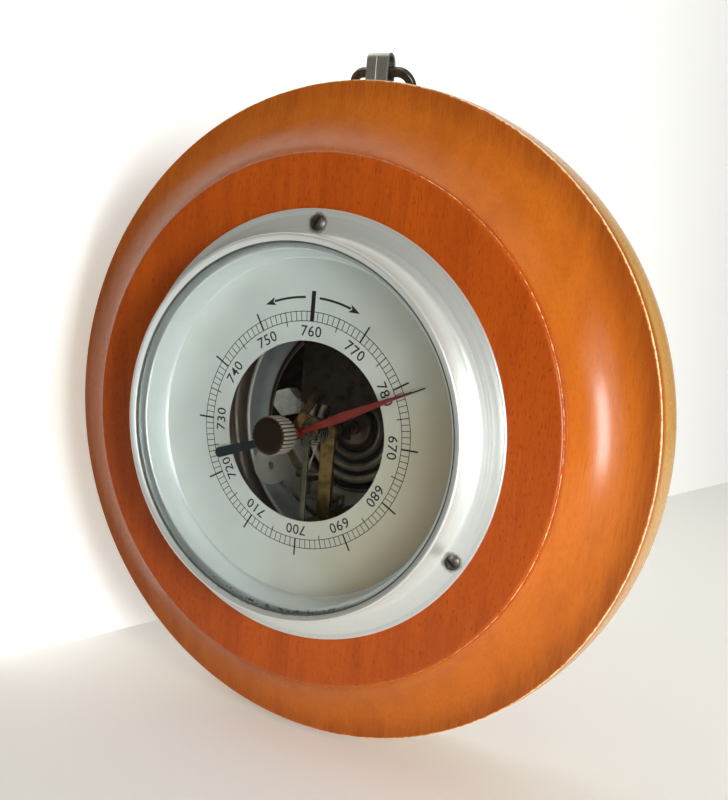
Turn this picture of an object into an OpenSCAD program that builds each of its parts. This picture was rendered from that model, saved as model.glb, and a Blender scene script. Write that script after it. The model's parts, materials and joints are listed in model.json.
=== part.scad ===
// Round wall barometer: a turned wooden board, a spun metal bezel and an aneroid movement behind an open dial.
// Millimetres. The board's back lies in the plane y = 0, the dial looks along -Y, and +Z is up.
// Inside face_frame() a point is (right, up, towards the viewer), with the board's back at height 0.

/* [Board] */
// Radius of the board's front outer edge
board_edge_r = 95; // [90:1:120]
// Thickness of the board at its flat ring
board_t = 40; // [39:0.5:52]
// Radius of the raised flat ring
board_ring_r = 73.5; // [68:0.5:80]
// Height of the front outer edge above the wall
board_edge_h = 25.2; // [20:0.2:30]
// How far the side swells past the front edge
board_bulge = 1.3; // [0.5:0.1:3]
// Wood left behind the movement
board_web = 4; // [3:0.5:6]
// Radius of the hole that gives a screwdriver access to the adjuster
access_r = 4; // [3:0.25:5]

/* [Bezel and glass] */
// Radius of the bezel's flange
flange_r = 59; // [57.5:0.5:64]
// Thickness of the flange at its edge
flange_t = 1; // [0.6:0.1:1.6]
// Outer radius of the bezel's wall and rim
rim_r = 51.2; // [50.8:0.1:51.6]
// Height of the rim above the board's flat ring
rim_h = 12; // [11:0.1:16]
// Wall of the bezel
bezel_wall = 0.9; // [0.7:0.1:1.2]
// Thickness of the glass
glass_t = 2; // [1.5:0.1:3]
// Radius of the circle of the three bezel screws
screw_ring_r = 55.2; // [54.6:0.1:56]
// Radius of a bezel screw's head
bezel_screw_r = 2.2; // [1.6:0.1:2.5]

/* [Dial and hands] */
// Thickness of the dial plate
dial_t = 0.4; // [0.3:0.1:1]
// Radius of the opening that shows the movement
dial_opening_r = 24.9; // [20:0.1:27]
// Radius of the dial's flat face inside the reflector ring
dial_flat_r = 46.4; // [42:0.1:47]
// Reach of the measuring hand
hand_r = 39.3; // [34:0.1:43]
// Reach of the measuring hand's tail
tail_r = 29.9; // [20:0.1:34]
// Reach of the red set hand
set_hand_r = 36; // [30:0.1:43]
// Where both hands point at rest, in degrees clockwise from the top
hand_angle = 65.2; // [0:0.1:360]
// Small bend between the measuring hand and its tail, in degrees
tail_bend = 5.7; // [0:0.1:8]

/* [Set knob] */
// Radius of the knob over its ribs
knob_r = 5.2; // [4:0.1:8]
// Length of the knob
knob_h = 6; // [4:0.5:10]
// Number of grooves round the knob
knob_grooves = 28; // [16:2:40]
// Radius of the spindle that carries knob and set hand
spindle_r = 1; // [0.8:0.1:1.4]

/* [Case] */
// Outer radius of the case drum
drum_r = 48.6; // [47:0.1:49.2]
// Sheet thickness of the case drum
drum_wall = 0.6; // [0.5:0.1:1.2]
// Corner radius of the drum's floor
drum_fillet = 3.2; // [1.5:0.1:5]

/* [Capsule and main spring] */
// Radius of the vacuum capsule
capsule_r = 20.2; // [16:0.1:20.6]
// Sheet thickness of the capsule
capsule_sheet = 0.3; // [0.2:0.05:0.5]
// Pitch of the capsule's corrugations
wave_pitch = 3.7; // [2.4:0.1:4]
// Width of the main spring
spring_w = 28; // [20:1:32]
// Thickness of the main spring
spring_t = 1; // [0.8:0.1:1.2]
// Height between the main spring's two leaves, middle to middle
spring_rise = 11; // [10:0.5:12]
// How far the main spring's bend lies above the dial's centre
bend_y = 28.5; // [27:0.5:30]

/* [Lever work] */
// Height of the rocking shaft's axis above the movement's base plate
shaft_h = 10; // [9:0.5:11]
// How far the rocking shaft lies below the dial's centre
shaft_drop = 15.5; // [14:0.5:17]
// Length of the upright arm that holds the chain
chain_arm_l = 12; // [11:0.5:13]
// Radius of the pointer arbor, on which the chain winds
arbor_r = 0.4; // [0.4:0.05:0.8]
// Turns of the hairspring
hair_turns = 4.5; // [3:0.5:5]
// Distance from turn to turn of the hairspring
hair_pitch = 0.65; // [0.62:0.01:0.8]

/* [Hanger] */
// Sideways place of the hanger
hanger_x = -6.2; // [-12:0.1:12]
// Width of the hanger's strap
strap_w = 7; // [5:0.5:10]
// Sheet thickness of the strap
strap_t = 0.8; // [0.6:0.1:1.2]
// Width of the hanging ring
ring_w = 21.2; // [18:0.2:30]
// Length of the hanging ring
ring_l = 17.6; // [15:0.2:26]
// Thickness of the ring's flat stock
ring_t = 2; // [1.6:0.1:2.4]
// Width of the ring's flat stock
ring_stock = 2.4; // [2:0.1:3]
// Angle at which the ring hangs away from the board's back
ring_tilt = 40; // [20:1:80]

/* [Hidden] */
$fn = 96;

fit = 0.2;              // gap round a piece that drops into a turned seat
bore_gap = 0.05;        // radial gap of a shaft or screw in its hole
eps = 0.01;             // how far a cut runs past a face
arc_steps = 18;

// heights of the dial stack, from the board's back
bezel_bore = rim_r - bezel_wall;
seat_r = bezel_bore - fit;
lip_t = 0.4;
dial_z0 = board_t + lip_t;
dial_z = dial_z0 + dial_t;
rim_top = board_t + rim_h;
rim_lip = 0.9;
gasket_t = 0.4;
glass_top = rim_top - rim_lip - gasket_t;
glass_z0 = glass_top - glass_t;
rim_hole_r = bezel_bore - 1;
gasket_hole_r = rim_hole_r - 0.4;
shoulder_r = max(seat_r - 2.6, dial_flat_r + 0.6);

// case drum and what screws its base down
head_h = 1.2;
head_room = head_h + fit;
pocket_r = drum_r + 0.3;
floor_out = board_web + head_room;
floor_in = floor_out + drum_wall;
drum_in_r = drum_r - drum_wall;

// base plate with three ears
base_t = 2;
base_top = floor_in + base_t;
base_r = 32.5;
ear_at_r = 36.5;
ear_r = 6.2;
neck_half = ear_r - 0.05;
neck_l = 16.5;
ear_turn = 2;
ear_angles = [ear_turn, ear_turn + 120, ear_turn + 240];
ear_hole_r = 1.45;

// bracket round the capsule, with its two bolts
bracket_t = 1.2;
bracket_top = base_top + bracket_t;
bracket_r = base_r - 0.7;
bracket_in_r = capsule_r + 1;
bracket_half = 104;
bolt_af = 8;
bolt_head = 4.8;
bolt_r = 2;
bolt_at_r = capsule_r + 0.3 + bolt_af / 2;
bolt_angle = 78.3;

// capsule
capsule_mid = base_top + 2.2;
lower_z = base_top + 1.2;
upper_z = base_top + 3.8;
lower_wave = 0.4;
upper_wave = 0.6;
hub_r = 2.3;
wave_in_r = 5;
wave_out_r = wave_in_r + floor((capsule_r - 1.6 - wave_in_r) / wave_pitch) * wave_pitch;
hub_top = base_top + 5.5;

// main spring, from the bracket over its bend to the tongue
leaf_low = bracket_top;
leaf_high = leaf_low + spring_rise;
leaf_top = leaf_high + spring_t;
bend_z = leaf_low + (spring_rise + spring_t) / 2;
bend_out = (spring_rise + spring_t) / 2;
tongue_w = 7;
tongue_end = -2.8;
leaf_end = 6.5;
root_y = (capsule_r + bend_y) / 2 + 0.3;
clamp_t = 1.6;
clamp_screw_x = 8.5;
clamp_screw_r = 1.2;
post_r = 1.1;

// lever work
shaft_y = -shaft_drop;
shaft_z = base_top + shaft_h;
shaft_r = 1;
pivot_r = 0.42;
cheek_t = 1;
frame_x0 = -12.6;
frame_x1 = -3.4;
frame_screw_x = [frame_x0 + 2, frame_x1 - 2];
frame_y = -(capsule_r + 1.8);
frame_wall = 1;
frame_foot_y = frame_y - 3;
link_x = -19.4;
link_y = -8.1;
link_hub_x = -14;
link_hub_l = 2;
chain_x = -5.6;
rod_r = 0.35;
link_t = 0.6;
lever_t = 0.8;
lever_root = [-9, leaf_end + 1.3];
joint_gap = 0.12;
chain_t = 0.3;

// cock and bridge that hold the pointer arbor
cock_z = leaf_top + 5;
cock_t = 1.2;
cock_top = cock_z + cock_t;
cock_w = 4.4;
bridge_t = 0.8;
bridge_top = dial_z0 - 1.5;
bridge_z = bridge_top - bridge_t;
bridge_w = 1.6;
pillar_y = -27.3;
pillar_r = 2.6;
long_screw_r = 1.2;
chain_z = shaft_z + chain_arm_l;
collet_z = (chain_z + bridge_z) / 2 + 0.4;
collet_h = 1.4;
collet_r = 1.2;
hair_t = 0.2;
hair_h = 0.6;
hair_in_r = collet_r + 0.15;
hair_out_r = hair_in_r + hair_turns * hair_pitch;
stud_angle = 168;
cock_arm_l = 8.6;
stud_r = 0.45;

// hands
hand_z = dial_z + 0.7;
hand_t = 0.3;
hub_z0 = dial_z + 0.4;
hub_z1 = dial_z + 1.8;
set_z0 = hub_z1 + 0.3;
set_hub_h = 2.6;
hand_hub_r = 1.5;
set_hub_r = 1.6;

// knob stack over the glass
bush_r = 2.2;
bush_flange_r = 3.4;
bush_flange_t = 0.6;
bush_nut_t = 1;
washer_t = 0.6;
knob_z0 = glass_top + bush_flange_t + washer_t + fit;

// hanger: two leaves in a recess of the board's back, folded round the ring's bar
recess_d = 2 * strap_t + 1;
recess_y = board_edge_r - 23;
strap_y0 = recess_y + 1.5;
loop_in_r = sqrt(pow(ring_t, 2) + pow(ring_stock, 2)) / 2 + 0.09;
loop_out_r = loop_in_r + strap_t;
loop_y = board_edge_r + 11.6;
ring_y = board_edge_r + 8.9;
loop_z = loop_out_r + 0.15;
leaf_z0 = recess_d - 2 * strap_t;
hanger_screw_r = 0.9;
hanger_screw_y = [board_edge_r - 17, board_edge_r - 9];

function polar(r, a) = [r * cos(a), r * sin(a)];
function arc(c, r, a0, a1, n = arc_steps) = [for (i = [0:n]) c + polar(r, a0 + (a1 - a0) * i / n)];
function clock(r, a) = [r * sin(a), r * cos(a)];

// least distance between neighbouring turns of the hairspring, measured on its own points
hair_n = 24;
function hair_mid(i) = polar(hair_in_r + hair_pitch * i / hair_n, stud_angle - 360 * (hair_turns - i / hair_n));
hair_last = hair_n * hair_turns;
hair_gap = min([for (i = [0:hair_last - hair_n]) norm(hair_mid(i + hair_n) - hair_mid(i))]) - hair_t;
echo(hairspring_least_gap = hair_gap);

// travel of each moving piece for one radian of the measuring hand
rock_per_rad = (arbor_r + chain_t / 2) / chain_arm_l;
link_per_rad = rock_per_rad * (link_y - shaft_y);
lever_per_rad = link_per_rad / (bend_y - link_y);
post_per_rad = lever_per_rad * bend_y;
echo(rocking_shaft_rad = rock_per_rad, link_mm = link_per_rad, lever_rad = lever_per_rad, post_mm = post_per_rad);

// the viewer's frame of the dial turned into the part's own frame
module face_frame() {
    rotate([90, 0, 0]) children();
}

module disc(r, h, z = 0) {
    translate([0, 0, z]) cylinder(r = r, h = h);
}

module tube(r_out, r_in, h, z = 0) {
    translate([0, 0, z]) difference() {
        cylinder(r = r_out, h = h);
        translate([0, 0, -eps]) cylinder(r = r_in, h = h + 2 * eps);
    }
}

module hole(r, z0, z1) {
    translate([0, 0, z0]) cylinder(r = r, h = z1 - z0);
}

// screw standing at height 0 with its shank below and its slotted head above
module slotted_screw(head_r, head_height, shank_r, shank_l, turn = 0, dome = 0.35) {
    difference() {
        union() {
            cylinder(r = head_r, h = head_height - dome);
            translate([0, 0, head_height - dome]) cylinder(r1 = head_r, r2 = head_r * 0.72, h = dome);
            translate([0, 0, -shank_l]) cylinder(r = shank_r, h = shank_l);
        }
        rotate([0, 0, turn]) translate([-head_r - 1, -head_r * 0.12, head_height * 0.5])
            cube([2 * head_r + 2, head_r * 0.24, head_height]);
    }
}

// flat strip between two points with round ends a hair wider than itself, lying in the dial's plane
module strip(a, b, w, t, z) {
    d = b - a;
    l = norm(d);
    end_r = w / 2 + 0.03;
    translate([a.x, a.y, z]) {
        rotate([0, 0, atan2(d.y, d.x)]) translate([0, -w / 2, 0]) cube([l, w, t]);
        cylinder(r = end_r, h = t);
    }
    translate([b.x, b.y, z]) cylinder(r = end_r, h = t);
}

module hexagon(af, h, z) {
    translate([0, 0, z]) cylinder(r = af / sqrt(3), h = h, $fn = 6);
}

module rounded_rect(w, h, r) {
    translate([-w / 2 + r, -h / 2]) square([w - 2 * r, h]);
    translate([-w / 2, -h / 2 + r]) square([w, h - 2 * r]);
    for (x = [-1, 1], y = [-1, 1]) translate([x * (w / 2 - r), y * (h / 2 - r)]) circle(r = r);
}

// outline in (up, towards the viewer) pulled sideways by w
module side_profile(w) {
    rotate([90, 0, 90]) linear_extrude(w, center = true) children();
}

module at_clock(r, angles) {
    for (a = angles) translate([clock(r, a).x, clock(r, a).y, 0]) rotate([0, 0, -a]) children();
}

module wood_board() {
    ridge = 1.1;
    step = 0.35;
    cove_r0 = board_ring_r + step;
    cove_z0 = board_t - ridge - 1.4;
    cove_r1 = board_edge_r - 0.6;
    cove_z1 = board_edge_h + 0.35;
    dr = cove_r1 - cove_r0;
    dz = cove_z0 - cove_z1;
    cove_R = (dr * dr + dz * dz) / (2 * dz);
    start = 180 + asin((cove_R - dz) / cove_R);
    back_round = 2;
    side_h = board_edge_h - 0.5 - back_round;
    outline = concat(
        [[0, 0], [board_edge_r - back_round + 0.4, 0]],
        arc([board_edge_r - back_round + 0.4, back_round], back_round, -90, -8, 8),
        [for (i = [1:14]) let (k = i / 15)
            [board_edge_r + 0.4 * (1 - k) + board_bulge * sin(180 * k), back_round + side_h * k]],
        arc([board_edge_r - 0.5, board_edge_h - 0.5], 0.5, 0, 80, 6),
        arc([cove_r1, cove_z1 + cove_R], cove_R, 270, start, 26),
        [[board_ring_r, board_t - ridge - 1.1]],
        arc([board_ring_r - ridge, board_t - ridge], ridge, 0, 90, 8),
        [[0, board_t]]);
    color("sienna") face_frame() difference() {
        rotate_extrude() polygon(outline);
        hole(pocket_r, board_web, board_t + 1);
        translate([0, root_y, 0]) hole(access_r, -1, board_web + 1);
        at_clock(screw_ring_r, [0, 120, 240]) hole(0.82, board_t - 9.2, board_t + 1);
        translate([hanger_x - strap_w / 2 - fit, recess_y, -1]) cube([strap_w + 2 * fit, 40, recess_d + 1]);
        for (y = hanger_screw_y) translate([hanger_x, y, 0]) hole(hanger_screw_r + 0.02, 0, 12);
    }
}

module bezel() {
    wall_foot = board_t + flange_t + 3;
    cove = 2.2;
    outline = concat(
        [[bezel_bore, board_t], [flange_r - 0.3, board_t], [flange_r, board_t + 0.3],
         [flange_r, board_t + flange_t - 0.3]],
        arc([flange_r - 0.4, board_t + flange_t - 0.35], 0.4, 0, 90, 5),
        [[flange_r - 1.2, board_t + flange_t - 0.1]],
        arc([rim_r + cove + 0.15, wall_foot - 0.3], cove, 265, 184, 12),
        [[rim_r, wall_foot + 1], [rim_r, rim_top - 0.7]],
        arc([rim_r - 0.6, rim_top - 0.6], 0.6, 0, 110, 7),
        [[rim_hole_r, rim_top - rim_lip + 0.1], [rim_hole_r, rim_top - rim_lip], [bezel_bore, rim_top - rim_lip]]);
    color("silver") face_frame() difference() {
        rotate_extrude() polygon(outline);
        at_clock(screw_ring_r, [0, 120, 240]) hole(0.95, board_t - 1, board_t + 8);
        at_clock(screw_ring_r, [0, 120, 240]) hole(bezel_screw_r + 0.15, board_t + flange_t - 0.1, board_t + 8);
    }
}

module bezel_screws() {
    color("dimgray") face_frame() at_clock(screw_ring_r, [0, 120, 240])
        translate([0, 0, board_t + flange_t - 0.1]) slotted_screw(bezel_screw_r, 1.2, 0.8, 9, 10, 0.5);
}

module glass() {
    color([0.85, 0.93, 0.93, 0.3]) face_frame() tube(seat_r, bush_r + bore_gap, glass_t, glass_z0);
}

module glass_gasket() {
    color("black") face_frame() tube(seat_r, gasket_hole_r, gasket_t, glass_top);
}

module reflector_ring() {
    edge = 0.25;
    cove_top = glass_z0 - 2.2;
    outline = concat(
        [[seat_r, dial_z], [seat_r, glass_z0], [shoulder_r, glass_z0], [shoulder_r, cove_top]],
        [for (i = [0:12]) let (a = 90 * i / 12)
            [dial_flat_r + edge + (shoulder_r - dial_flat_r - edge) * cos(a),
             cove_top - (cove_top - dial_z - edge) * sin(a)]],
        [[dial_flat_r, dial_z]]);
    color("gainsboro") face_frame() rotate_extrude() polygon(outline);
}

module dial_plate() {
    color("lightgray") face_frame() tube(seat_r, dial_opening_r, dial_t, dial_z0);
}

module case_drum() {
    r_in = drum_fillet;
    r_out = drum_fillet + drum_wall;
    outline = concat(
        [[0, floor_out]],
        arc([drum_r - r_out, floor_out + r_out], r_out, -90, 0, 8),
        [[drum_r, board_t], [seat_r, board_t], [seat_r, dial_z0], [drum_in_r, dial_z0]],
        arc([drum_in_r - r_in, floor_in + r_in], r_in, 0, -90, 8),
        [[0, floor_in]]);
    color("slategray") face_frame() difference() {
        rotate_extrude() polygon(outline);
        at_clock(ear_at_r, ear_angles) hole(ear_hole_r + bore_gap, floor_out - 1, floor_in + 1);
        translate([0, root_y, 0]) hole(2.2, floor_out - 1, floor_in + 1);
    }
}

module base_plate() {
    color("lightslategray") face_frame() difference() {
        union() {
            disc(base_r, base_t, floor_in);
            at_clock(ear_at_r, ear_angles) {
                disc(ear_r, base_t, floor_in);
                translate([-neck_half, -neck_l, floor_in]) cube([2 * neck_half, neck_l, base_t]);
            }
        }
        at_clock(ear_at_r, ear_angles) hole(ear_hole_r, floor_in - 1, base_top + 1);
        at_clock(bolt_at_r, [-bolt_angle, bolt_angle]) hole(bolt_r + bore_gap, floor_in - 1, base_top + 1);
        for (x = [-1, 1]) translate([x * clamp_screw_x, root_y, 0])
            hole(clamp_screw_r + bore_gap, floor_in + 0.6, base_top + 1);
        translate([0, root_y, 0]) hole(1.9 + bore_gap, floor_in - 1, base_top + 1);
        translate([0, pillar_y, 0]) hole(1.5, floor_in + 0.4, base_top + 1);
        for (x = frame_screw_x) translate([x, frame_foot_y, 0]) hole(1, floor_in + 0.6, base_top + 1);
    }
}

module base_screws() {
    shank = drum_wall + 0.9;
    color("gray") face_frame() at_clock(ear_at_r, ear_angles) translate([0, 0, floor_out])
        mirror([0, 0, 1]) slotted_screw(2.6, head_h, ear_hole_r - 0.03, shank, 30);
}

module spring_bracket() {
    color("#3a2a22") face_frame() difference() {
        tube(bracket_r, bracket_in_r, bracket_t, base_top);
        translate([0, 0, base_top - 1]) linear_extrude(bracket_t + 2)
            polygon(concat([[0, 0]], [for (a = [bracket_half, 180, 360 - bracket_half]) clock(2.2 * base_r, a)]));
        at_clock(bolt_at_r, [-bolt_angle, bolt_angle]) hole(bolt_r + bore_gap, base_top - 1, bracket_top + 1);
        for (x = [-1, 1]) translate([x * clamp_screw_x, root_y, 0])
            hole(clamp_screw_r + bore_gap, base_top - 1, bracket_top + 1);
        translate([0, root_y, 0]) hole(2.2, base_top - 1, bracket_top + 1);
    }
}

module bracket_bolts() {
    color("silver") face_frame() at_clock(bolt_at_r, [-bolt_angle, bolt_angle]) {
        intersection() {
            hexagon(bolt_af, bolt_head, bracket_top);
            translate([0, 0, bracket_top]) cylinder(r1 = bolt_af, r2 = bolt_af * 0.49, h = bolt_head + 0.6);
        }
        disc(bolt_r, bracket_t + base_t - 0.4, floor_in + 0.4);
    }
}

// ring wave of the capsule, with its crest at the inner end
function wave(r, amp) = amp * cos(360 * (r - wave_in_r) / wave_pitch);
wave_n = round((wave_out_r - wave_in_r) / wave_pitch) * 8;
function wave_line(z, amp) = [for (i = [0:wave_n]) let (r = wave_in_r + (wave_out_r - wave_in_r) * i / wave_n)
    [r, z + wave(r, amp)]];

module capsule_lower() {
    line = wave_line(lower_z, -lower_wave);
    low = concat([[0, base_top], [wave_in_r - 0.4, base_top], [wave_in_r - 0.4, lower_z - lower_wave]], line,
        [[capsule_r - 1, capsule_mid - 0.4], [capsule_r, capsule_mid - 0.4]]);
    high = [for (p = low) [p.x, p.y + capsule_sheet]];
    color("burlywood") face_frame() rotate_extrude()
        polygon(concat(low, [[capsule_r, capsule_mid]],
            [for (i = [len(high) - 1:-1:3]) high[i]], [[0, lower_z - lower_wave + capsule_sheet]]));
}

module capsule_upper() {
    line = wave_line(upper_z, upper_wave);
    crest = upper_z + upper_wave;
    high = concat([[hub_r, crest]], line, [[capsule_r - 1, capsule_mid + 0.4], [capsule_r, capsule_mid + 0.4]]);
    low = [for (p = high) [p.x, p.y - capsule_sheet]];
    color("tan") face_frame() rotate_extrude()
        polygon(concat([[0, crest - capsule_sheet], [0, crest]], high, [[capsule_r, capsule_mid]],
            [for (i = [len(low) - 1:-1:0]) low[i]]));
}

module capsule_post() {
    crest = upper_z + upper_wave;
    color("peru") face_frame() {
        disc(hub_r, hub_top - crest, crest);
        disc(post_r, leaf_top + 2 - crest, crest);
        disc(1.8, 1, leaf_high - 1);
    }
}

module post_nut() {
    color("goldenrod") face_frame() difference() {
        hexagon(3.6, 1.5, leaf_top);
        hole(post_r, leaf_top - 1, leaf_top + 3);
    }
}

module main_spring() {
    r_in = bend_out - spring_t;
    c = [bend_y, bend_z];
    profile = concat([[root_y - 2.6, leaf_low]], arc(c, bend_out, -90, 90, 24), [[tongue_end, leaf_top]],
        [[tongue_end, leaf_high]], arc(c, r_in, 90, -90, 24), [[root_y - 2.6, leaf_low + spring_t]]);
    color("#241a16") face_frame() difference() {
        side_profile(spring_w) polygon(profile);
        for (x = [-1, 1]) translate([x * (tongue_w / 2 + 20) - 20, tongue_end - 1, leaf_high - 1])
            cube([40, leaf_end - tongue_end + 1, spring_t + 2]);
        hole(post_r + bore_gap, leaf_high - 1, leaf_top + 1);
        for (x = [-1, 1]) translate([x * clamp_screw_x, root_y, 0])
            hole(clamp_screw_r + bore_gap, leaf_low - 1, leaf_low + spring_t + 1);
    }
}

module spring_clamp() {
    color("dimgray") face_frame() difference() {
        translate([-spring_w / 2 + 2, root_y - 2.2, leaf_low + spring_t]) cube([spring_w - 4, 4.4, clamp_t]);
        for (x = [-1, 1]) translate([x * clamp_screw_x, root_y, 0])
            hole(clamp_screw_r + bore_gap, leaf_low, leaf_low + spring_t + clamp_t + 1);
    }
}

module clamp_screws() {
    top = leaf_low + spring_t + clamp_t;
    color("silver") face_frame() for (x = [-1, 1]) translate([x * clamp_screw_x, root_y, top])
        slotted_screw(2.2, head_h, clamp_screw_r, top - floor_in - 0.7, 40 * x);
}

module adjusting_screw() {
    color("goldenrod") face_frame() translate([0, root_y, floor_out - 0.1]) mirror([0, 0, 1])
        slotted_screw(3, head_h - 0.1, 1.9, leaf_low - floor_out, 20);
}

module main_lever() {
    color("darkgoldenrod") face_frame() difference() {
        union() {
            strip(lever_root, [link_x, link_y], 2.4, lever_t, leaf_top);
            translate([lever_root.x, lever_root.y, leaf_top]) cylinder(r = 0.7, h = lever_t + 0.4);
        }
        translate([link_x, link_y, 0]) hole(rod_r + joint_gap, leaf_top - 1, leaf_top + 3);
    }
}

module link_rod() {
    bottom = shaft_z - link_t / 2 - 0.8;
    top = leaf_top + lever_t + joint_gap;
    color("silver") face_frame() translate([link_x, link_y, 0]) {
        disc(rod_r, top - bottom, bottom);
        disc(0.7, 0.4, top);
        disc(0.7, 0.3, leaf_top - joint_gap - 0.3);
        disc(1.1, 0.3, shaft_z + link_t / 2 + 0.5);
        disc(1.1, 0.3, bottom);
    }
}

module rocking_shaft() {
    x0 = link_hub_x - link_hub_l / 2 - 0.3;
    x1 = frame_x1 - cheek_t - 0.4;
    color("silver") face_frame() translate([0, shaft_y, shaft_z]) rotate([0, 90, 0]) {
        disc(shaft_r, x1 - x0, x0);
        disc(pivot_r, 1.7, x1);
    }
}

module link_arm() {
    color("khaki") face_frame() difference() {
        union() {
            translate([link_hub_x - link_hub_l / 2, shaft_y, shaft_z]) rotate([0, 90, 0])
                cylinder(r = 1.6, h = link_hub_l);
            strip([link_hub_x, shaft_y], [link_x, link_y], 2.4, link_t, shaft_z - link_t / 2);
            translate([link_x, link_y, shaft_z - link_t / 2]) cylinder(r = 1.5, h = link_t);
        }
        translate([link_hub_x - 3, shaft_y, shaft_z]) rotate([0, 90, 0]) cylinder(r = shaft_r, h = 6);
        translate([link_x, link_y, 0]) hole(0.8, shaft_z - 2, shaft_z + 2);
    }
}

module chain_arm() {
    color("silver") face_frame() translate([chain_x, shaft_y, shaft_z]) rotate([0, 90, 0]) difference() {
        union() {
            disc(1.5, 1.5, -0.8);
            translate([-chain_arm_l, -0.7, -0.35]) cube([chain_arm_l, 1.4, 0.7]);
            translate([-chain_arm_l, 0, -0.35]) cylinder(r = 0.7, h = 0.7);
        }
        hole(shaft_r, -2, 2);
        translate([-chain_arm_l, 0, 0]) hole(0.3, -1, 1);
    }
}

module shaft_frame() {
    top = shaft_z + 2;
    color("darkkhaki") face_frame() difference() {
        union() {
            translate([frame_x0, frame_foot_y - 2, base_top])
                cube([frame_x1 - frame_x0, frame_y - frame_foot_y + 2, 1]);
            translate([frame_x0, frame_y - frame_wall, base_top])
                cube([frame_x1 - frame_x0, frame_wall, top - base_top]);
            for (x = [frame_x0, frame_x1 - cheek_t]) translate([x, frame_y - eps, shaft_z - 2.2])
                cube([cheek_t, shaft_y + 1.1 - frame_y, top - shaft_z + 2.2]);
        }
        translate([frame_x0 - 1, shaft_y, shaft_z]) rotate([0, 90, 0])
            cylinder(r = shaft_r + bore_gap, h = cheek_t + 2);
        translate([frame_x1 - cheek_t - 1, shaft_y, shaft_z]) rotate([0, 90, 0])
            cylinder(r = pivot_r + bore_gap, h = cheek_t + 2);
        for (x = frame_screw_x) translate([x, frame_foot_y, 0]) hole(1 + bore_gap, base_top - 1, base_top + 2);
    }
}

module frame_screws() {
    color("silver") face_frame() for (x = frame_screw_x) translate([x, frame_foot_y, base_top + 1])
        slotted_screw(1.8, 1, 1 - bore_gap, base_t - 0.7 + 1, 60 + x);
}

// fine chain from the upright arm to the arbor, where it winds once round
module drum_chain() {
    a = [chain_x + 0.5, shaft_y + 0.8];
    b = [-arbor_r - 0.2, -0.3];
    d = b - a;
    n = floor(norm(d) / 0.9);
    color("dimgray") face_frame() {
        tube(arbor_r + 0.02 + chain_t, arbor_r + 0.02, 0.5, chain_z - 0.25);
        translate([a.x, a.y, chain_z]) rotate([0, 0, atan2(d.y, d.x)]) {
            translate([0, -0.1, -0.2]) cube([norm(d) + 0.1, 0.2, 0.4]);
            for (i = [0:n - 1]) translate([0.45 + i * 0.9, 0, -0.25]) cylinder(r = 0.25, h = 0.5);
        }
    }
}

module pointer_arbor() {
    color("silver") face_frame() {
        disc(arbor_r, hub_z1 - cock_top - 1, cock_top + 1);
        disc(arbor_r - 0.1, cock_t + 1.2, cock_z - 0.2);
    }
}

module hairspring_collet() {
    color("goldenrod") face_frame() tube(collet_r, arbor_r, collet_h, collet_z - collet_h / 2);
}

module hairspring() {
    out = [for (i = [0:hair_last]) hair_mid(i) + polar(hair_t / 2, stud_angle + 360 * i / hair_n - 360 * hair_turns)];
    in = [for (i = [hair_last:-1:0]) hair_mid(i) - polar(hair_t / 2, stud_angle + 360 * i / hair_n - 360 * hair_turns)];
    color("midnightblue") face_frame() translate([0, 0, collet_z - hair_h / 2])
        linear_extrude(hair_h) polygon(concat(out, in));
}

module hairspring_stud() {
    color("goldenrod") face_frame() translate([polar(hair_out_r + stud_r + 0.15, stud_angle).x,
        polar(hair_out_r + stud_r + 0.15, stud_angle).y, 0]) disc(stud_r, collet_z + 0.8 - cock_top, cock_top);
}

module arbor_cock() {
    lobe = polar(cock_arm_l, stud_angle);
    color("darkgoldenrod") face_frame() difference() {
        union() {
            strip([0, 0], [0, pillar_y], cock_w, cock_t, cock_z);
            strip([0, 0], lobe, 4, cock_t, cock_z);
            translate([lobe.x, lobe.y, cock_z]) cylinder(r = 2.3, h = cock_t);
            disc(2.6, cock_t + 0.8, cock_z);
        }
        hole(arbor_r - 0.1 + bore_gap, cock_z - 1, cock_top + 2);
        translate([0, pillar_y, 0]) hole(long_screw_r + bore_gap, cock_z - 1, cock_top + 2);
    }
}

module cock_pillar() {
    color("goldenrod") face_frame() translate([0, pillar_y, 0]) difference() {
        union() {
            disc(pillar_r, cock_z - base_top, base_top);
            disc(1.5, base_t - 0.5, floor_in + 0.5);
        }
        hole(long_screw_r + bore_gap, cock_z - 4, cock_z + 1);
    }
}

module upper_bridge() {
    color("gray") face_frame() difference() {
        union() {
            strip([0, 0], [0, pillar_y], bridge_w, bridge_t, bridge_z);
            disc(2.2, bridge_t, bridge_z);
            translate([0, pillar_y, bridge_z]) cylinder(r = 2.6, h = bridge_t);
        }
        hole(arbor_r + bore_gap, bridge_z - 1, bridge_top + 1);
        translate([0, pillar_y, 0]) hole(long_screw_r + bore_gap, bridge_z - 1, bridge_top + 1);
    }
}

module bridge_spacer() {
    color("goldenrod") face_frame() translate([0, pillar_y, 0])
        tube(2.1, long_screw_r + bore_gap, bridge_z - cock_top, cock_top);
}

module bridge_screw() {
    color("silver") face_frame() translate([0, pillar_y, bridge_top])
        slotted_screw(2.1, 1, long_screw_r, bridge_top - cock_z + 3.5, 35);
}

module blade(points, z) {
    translate([0, 0, z]) linear_extrude(hand_t) polygon(points);
}

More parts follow.
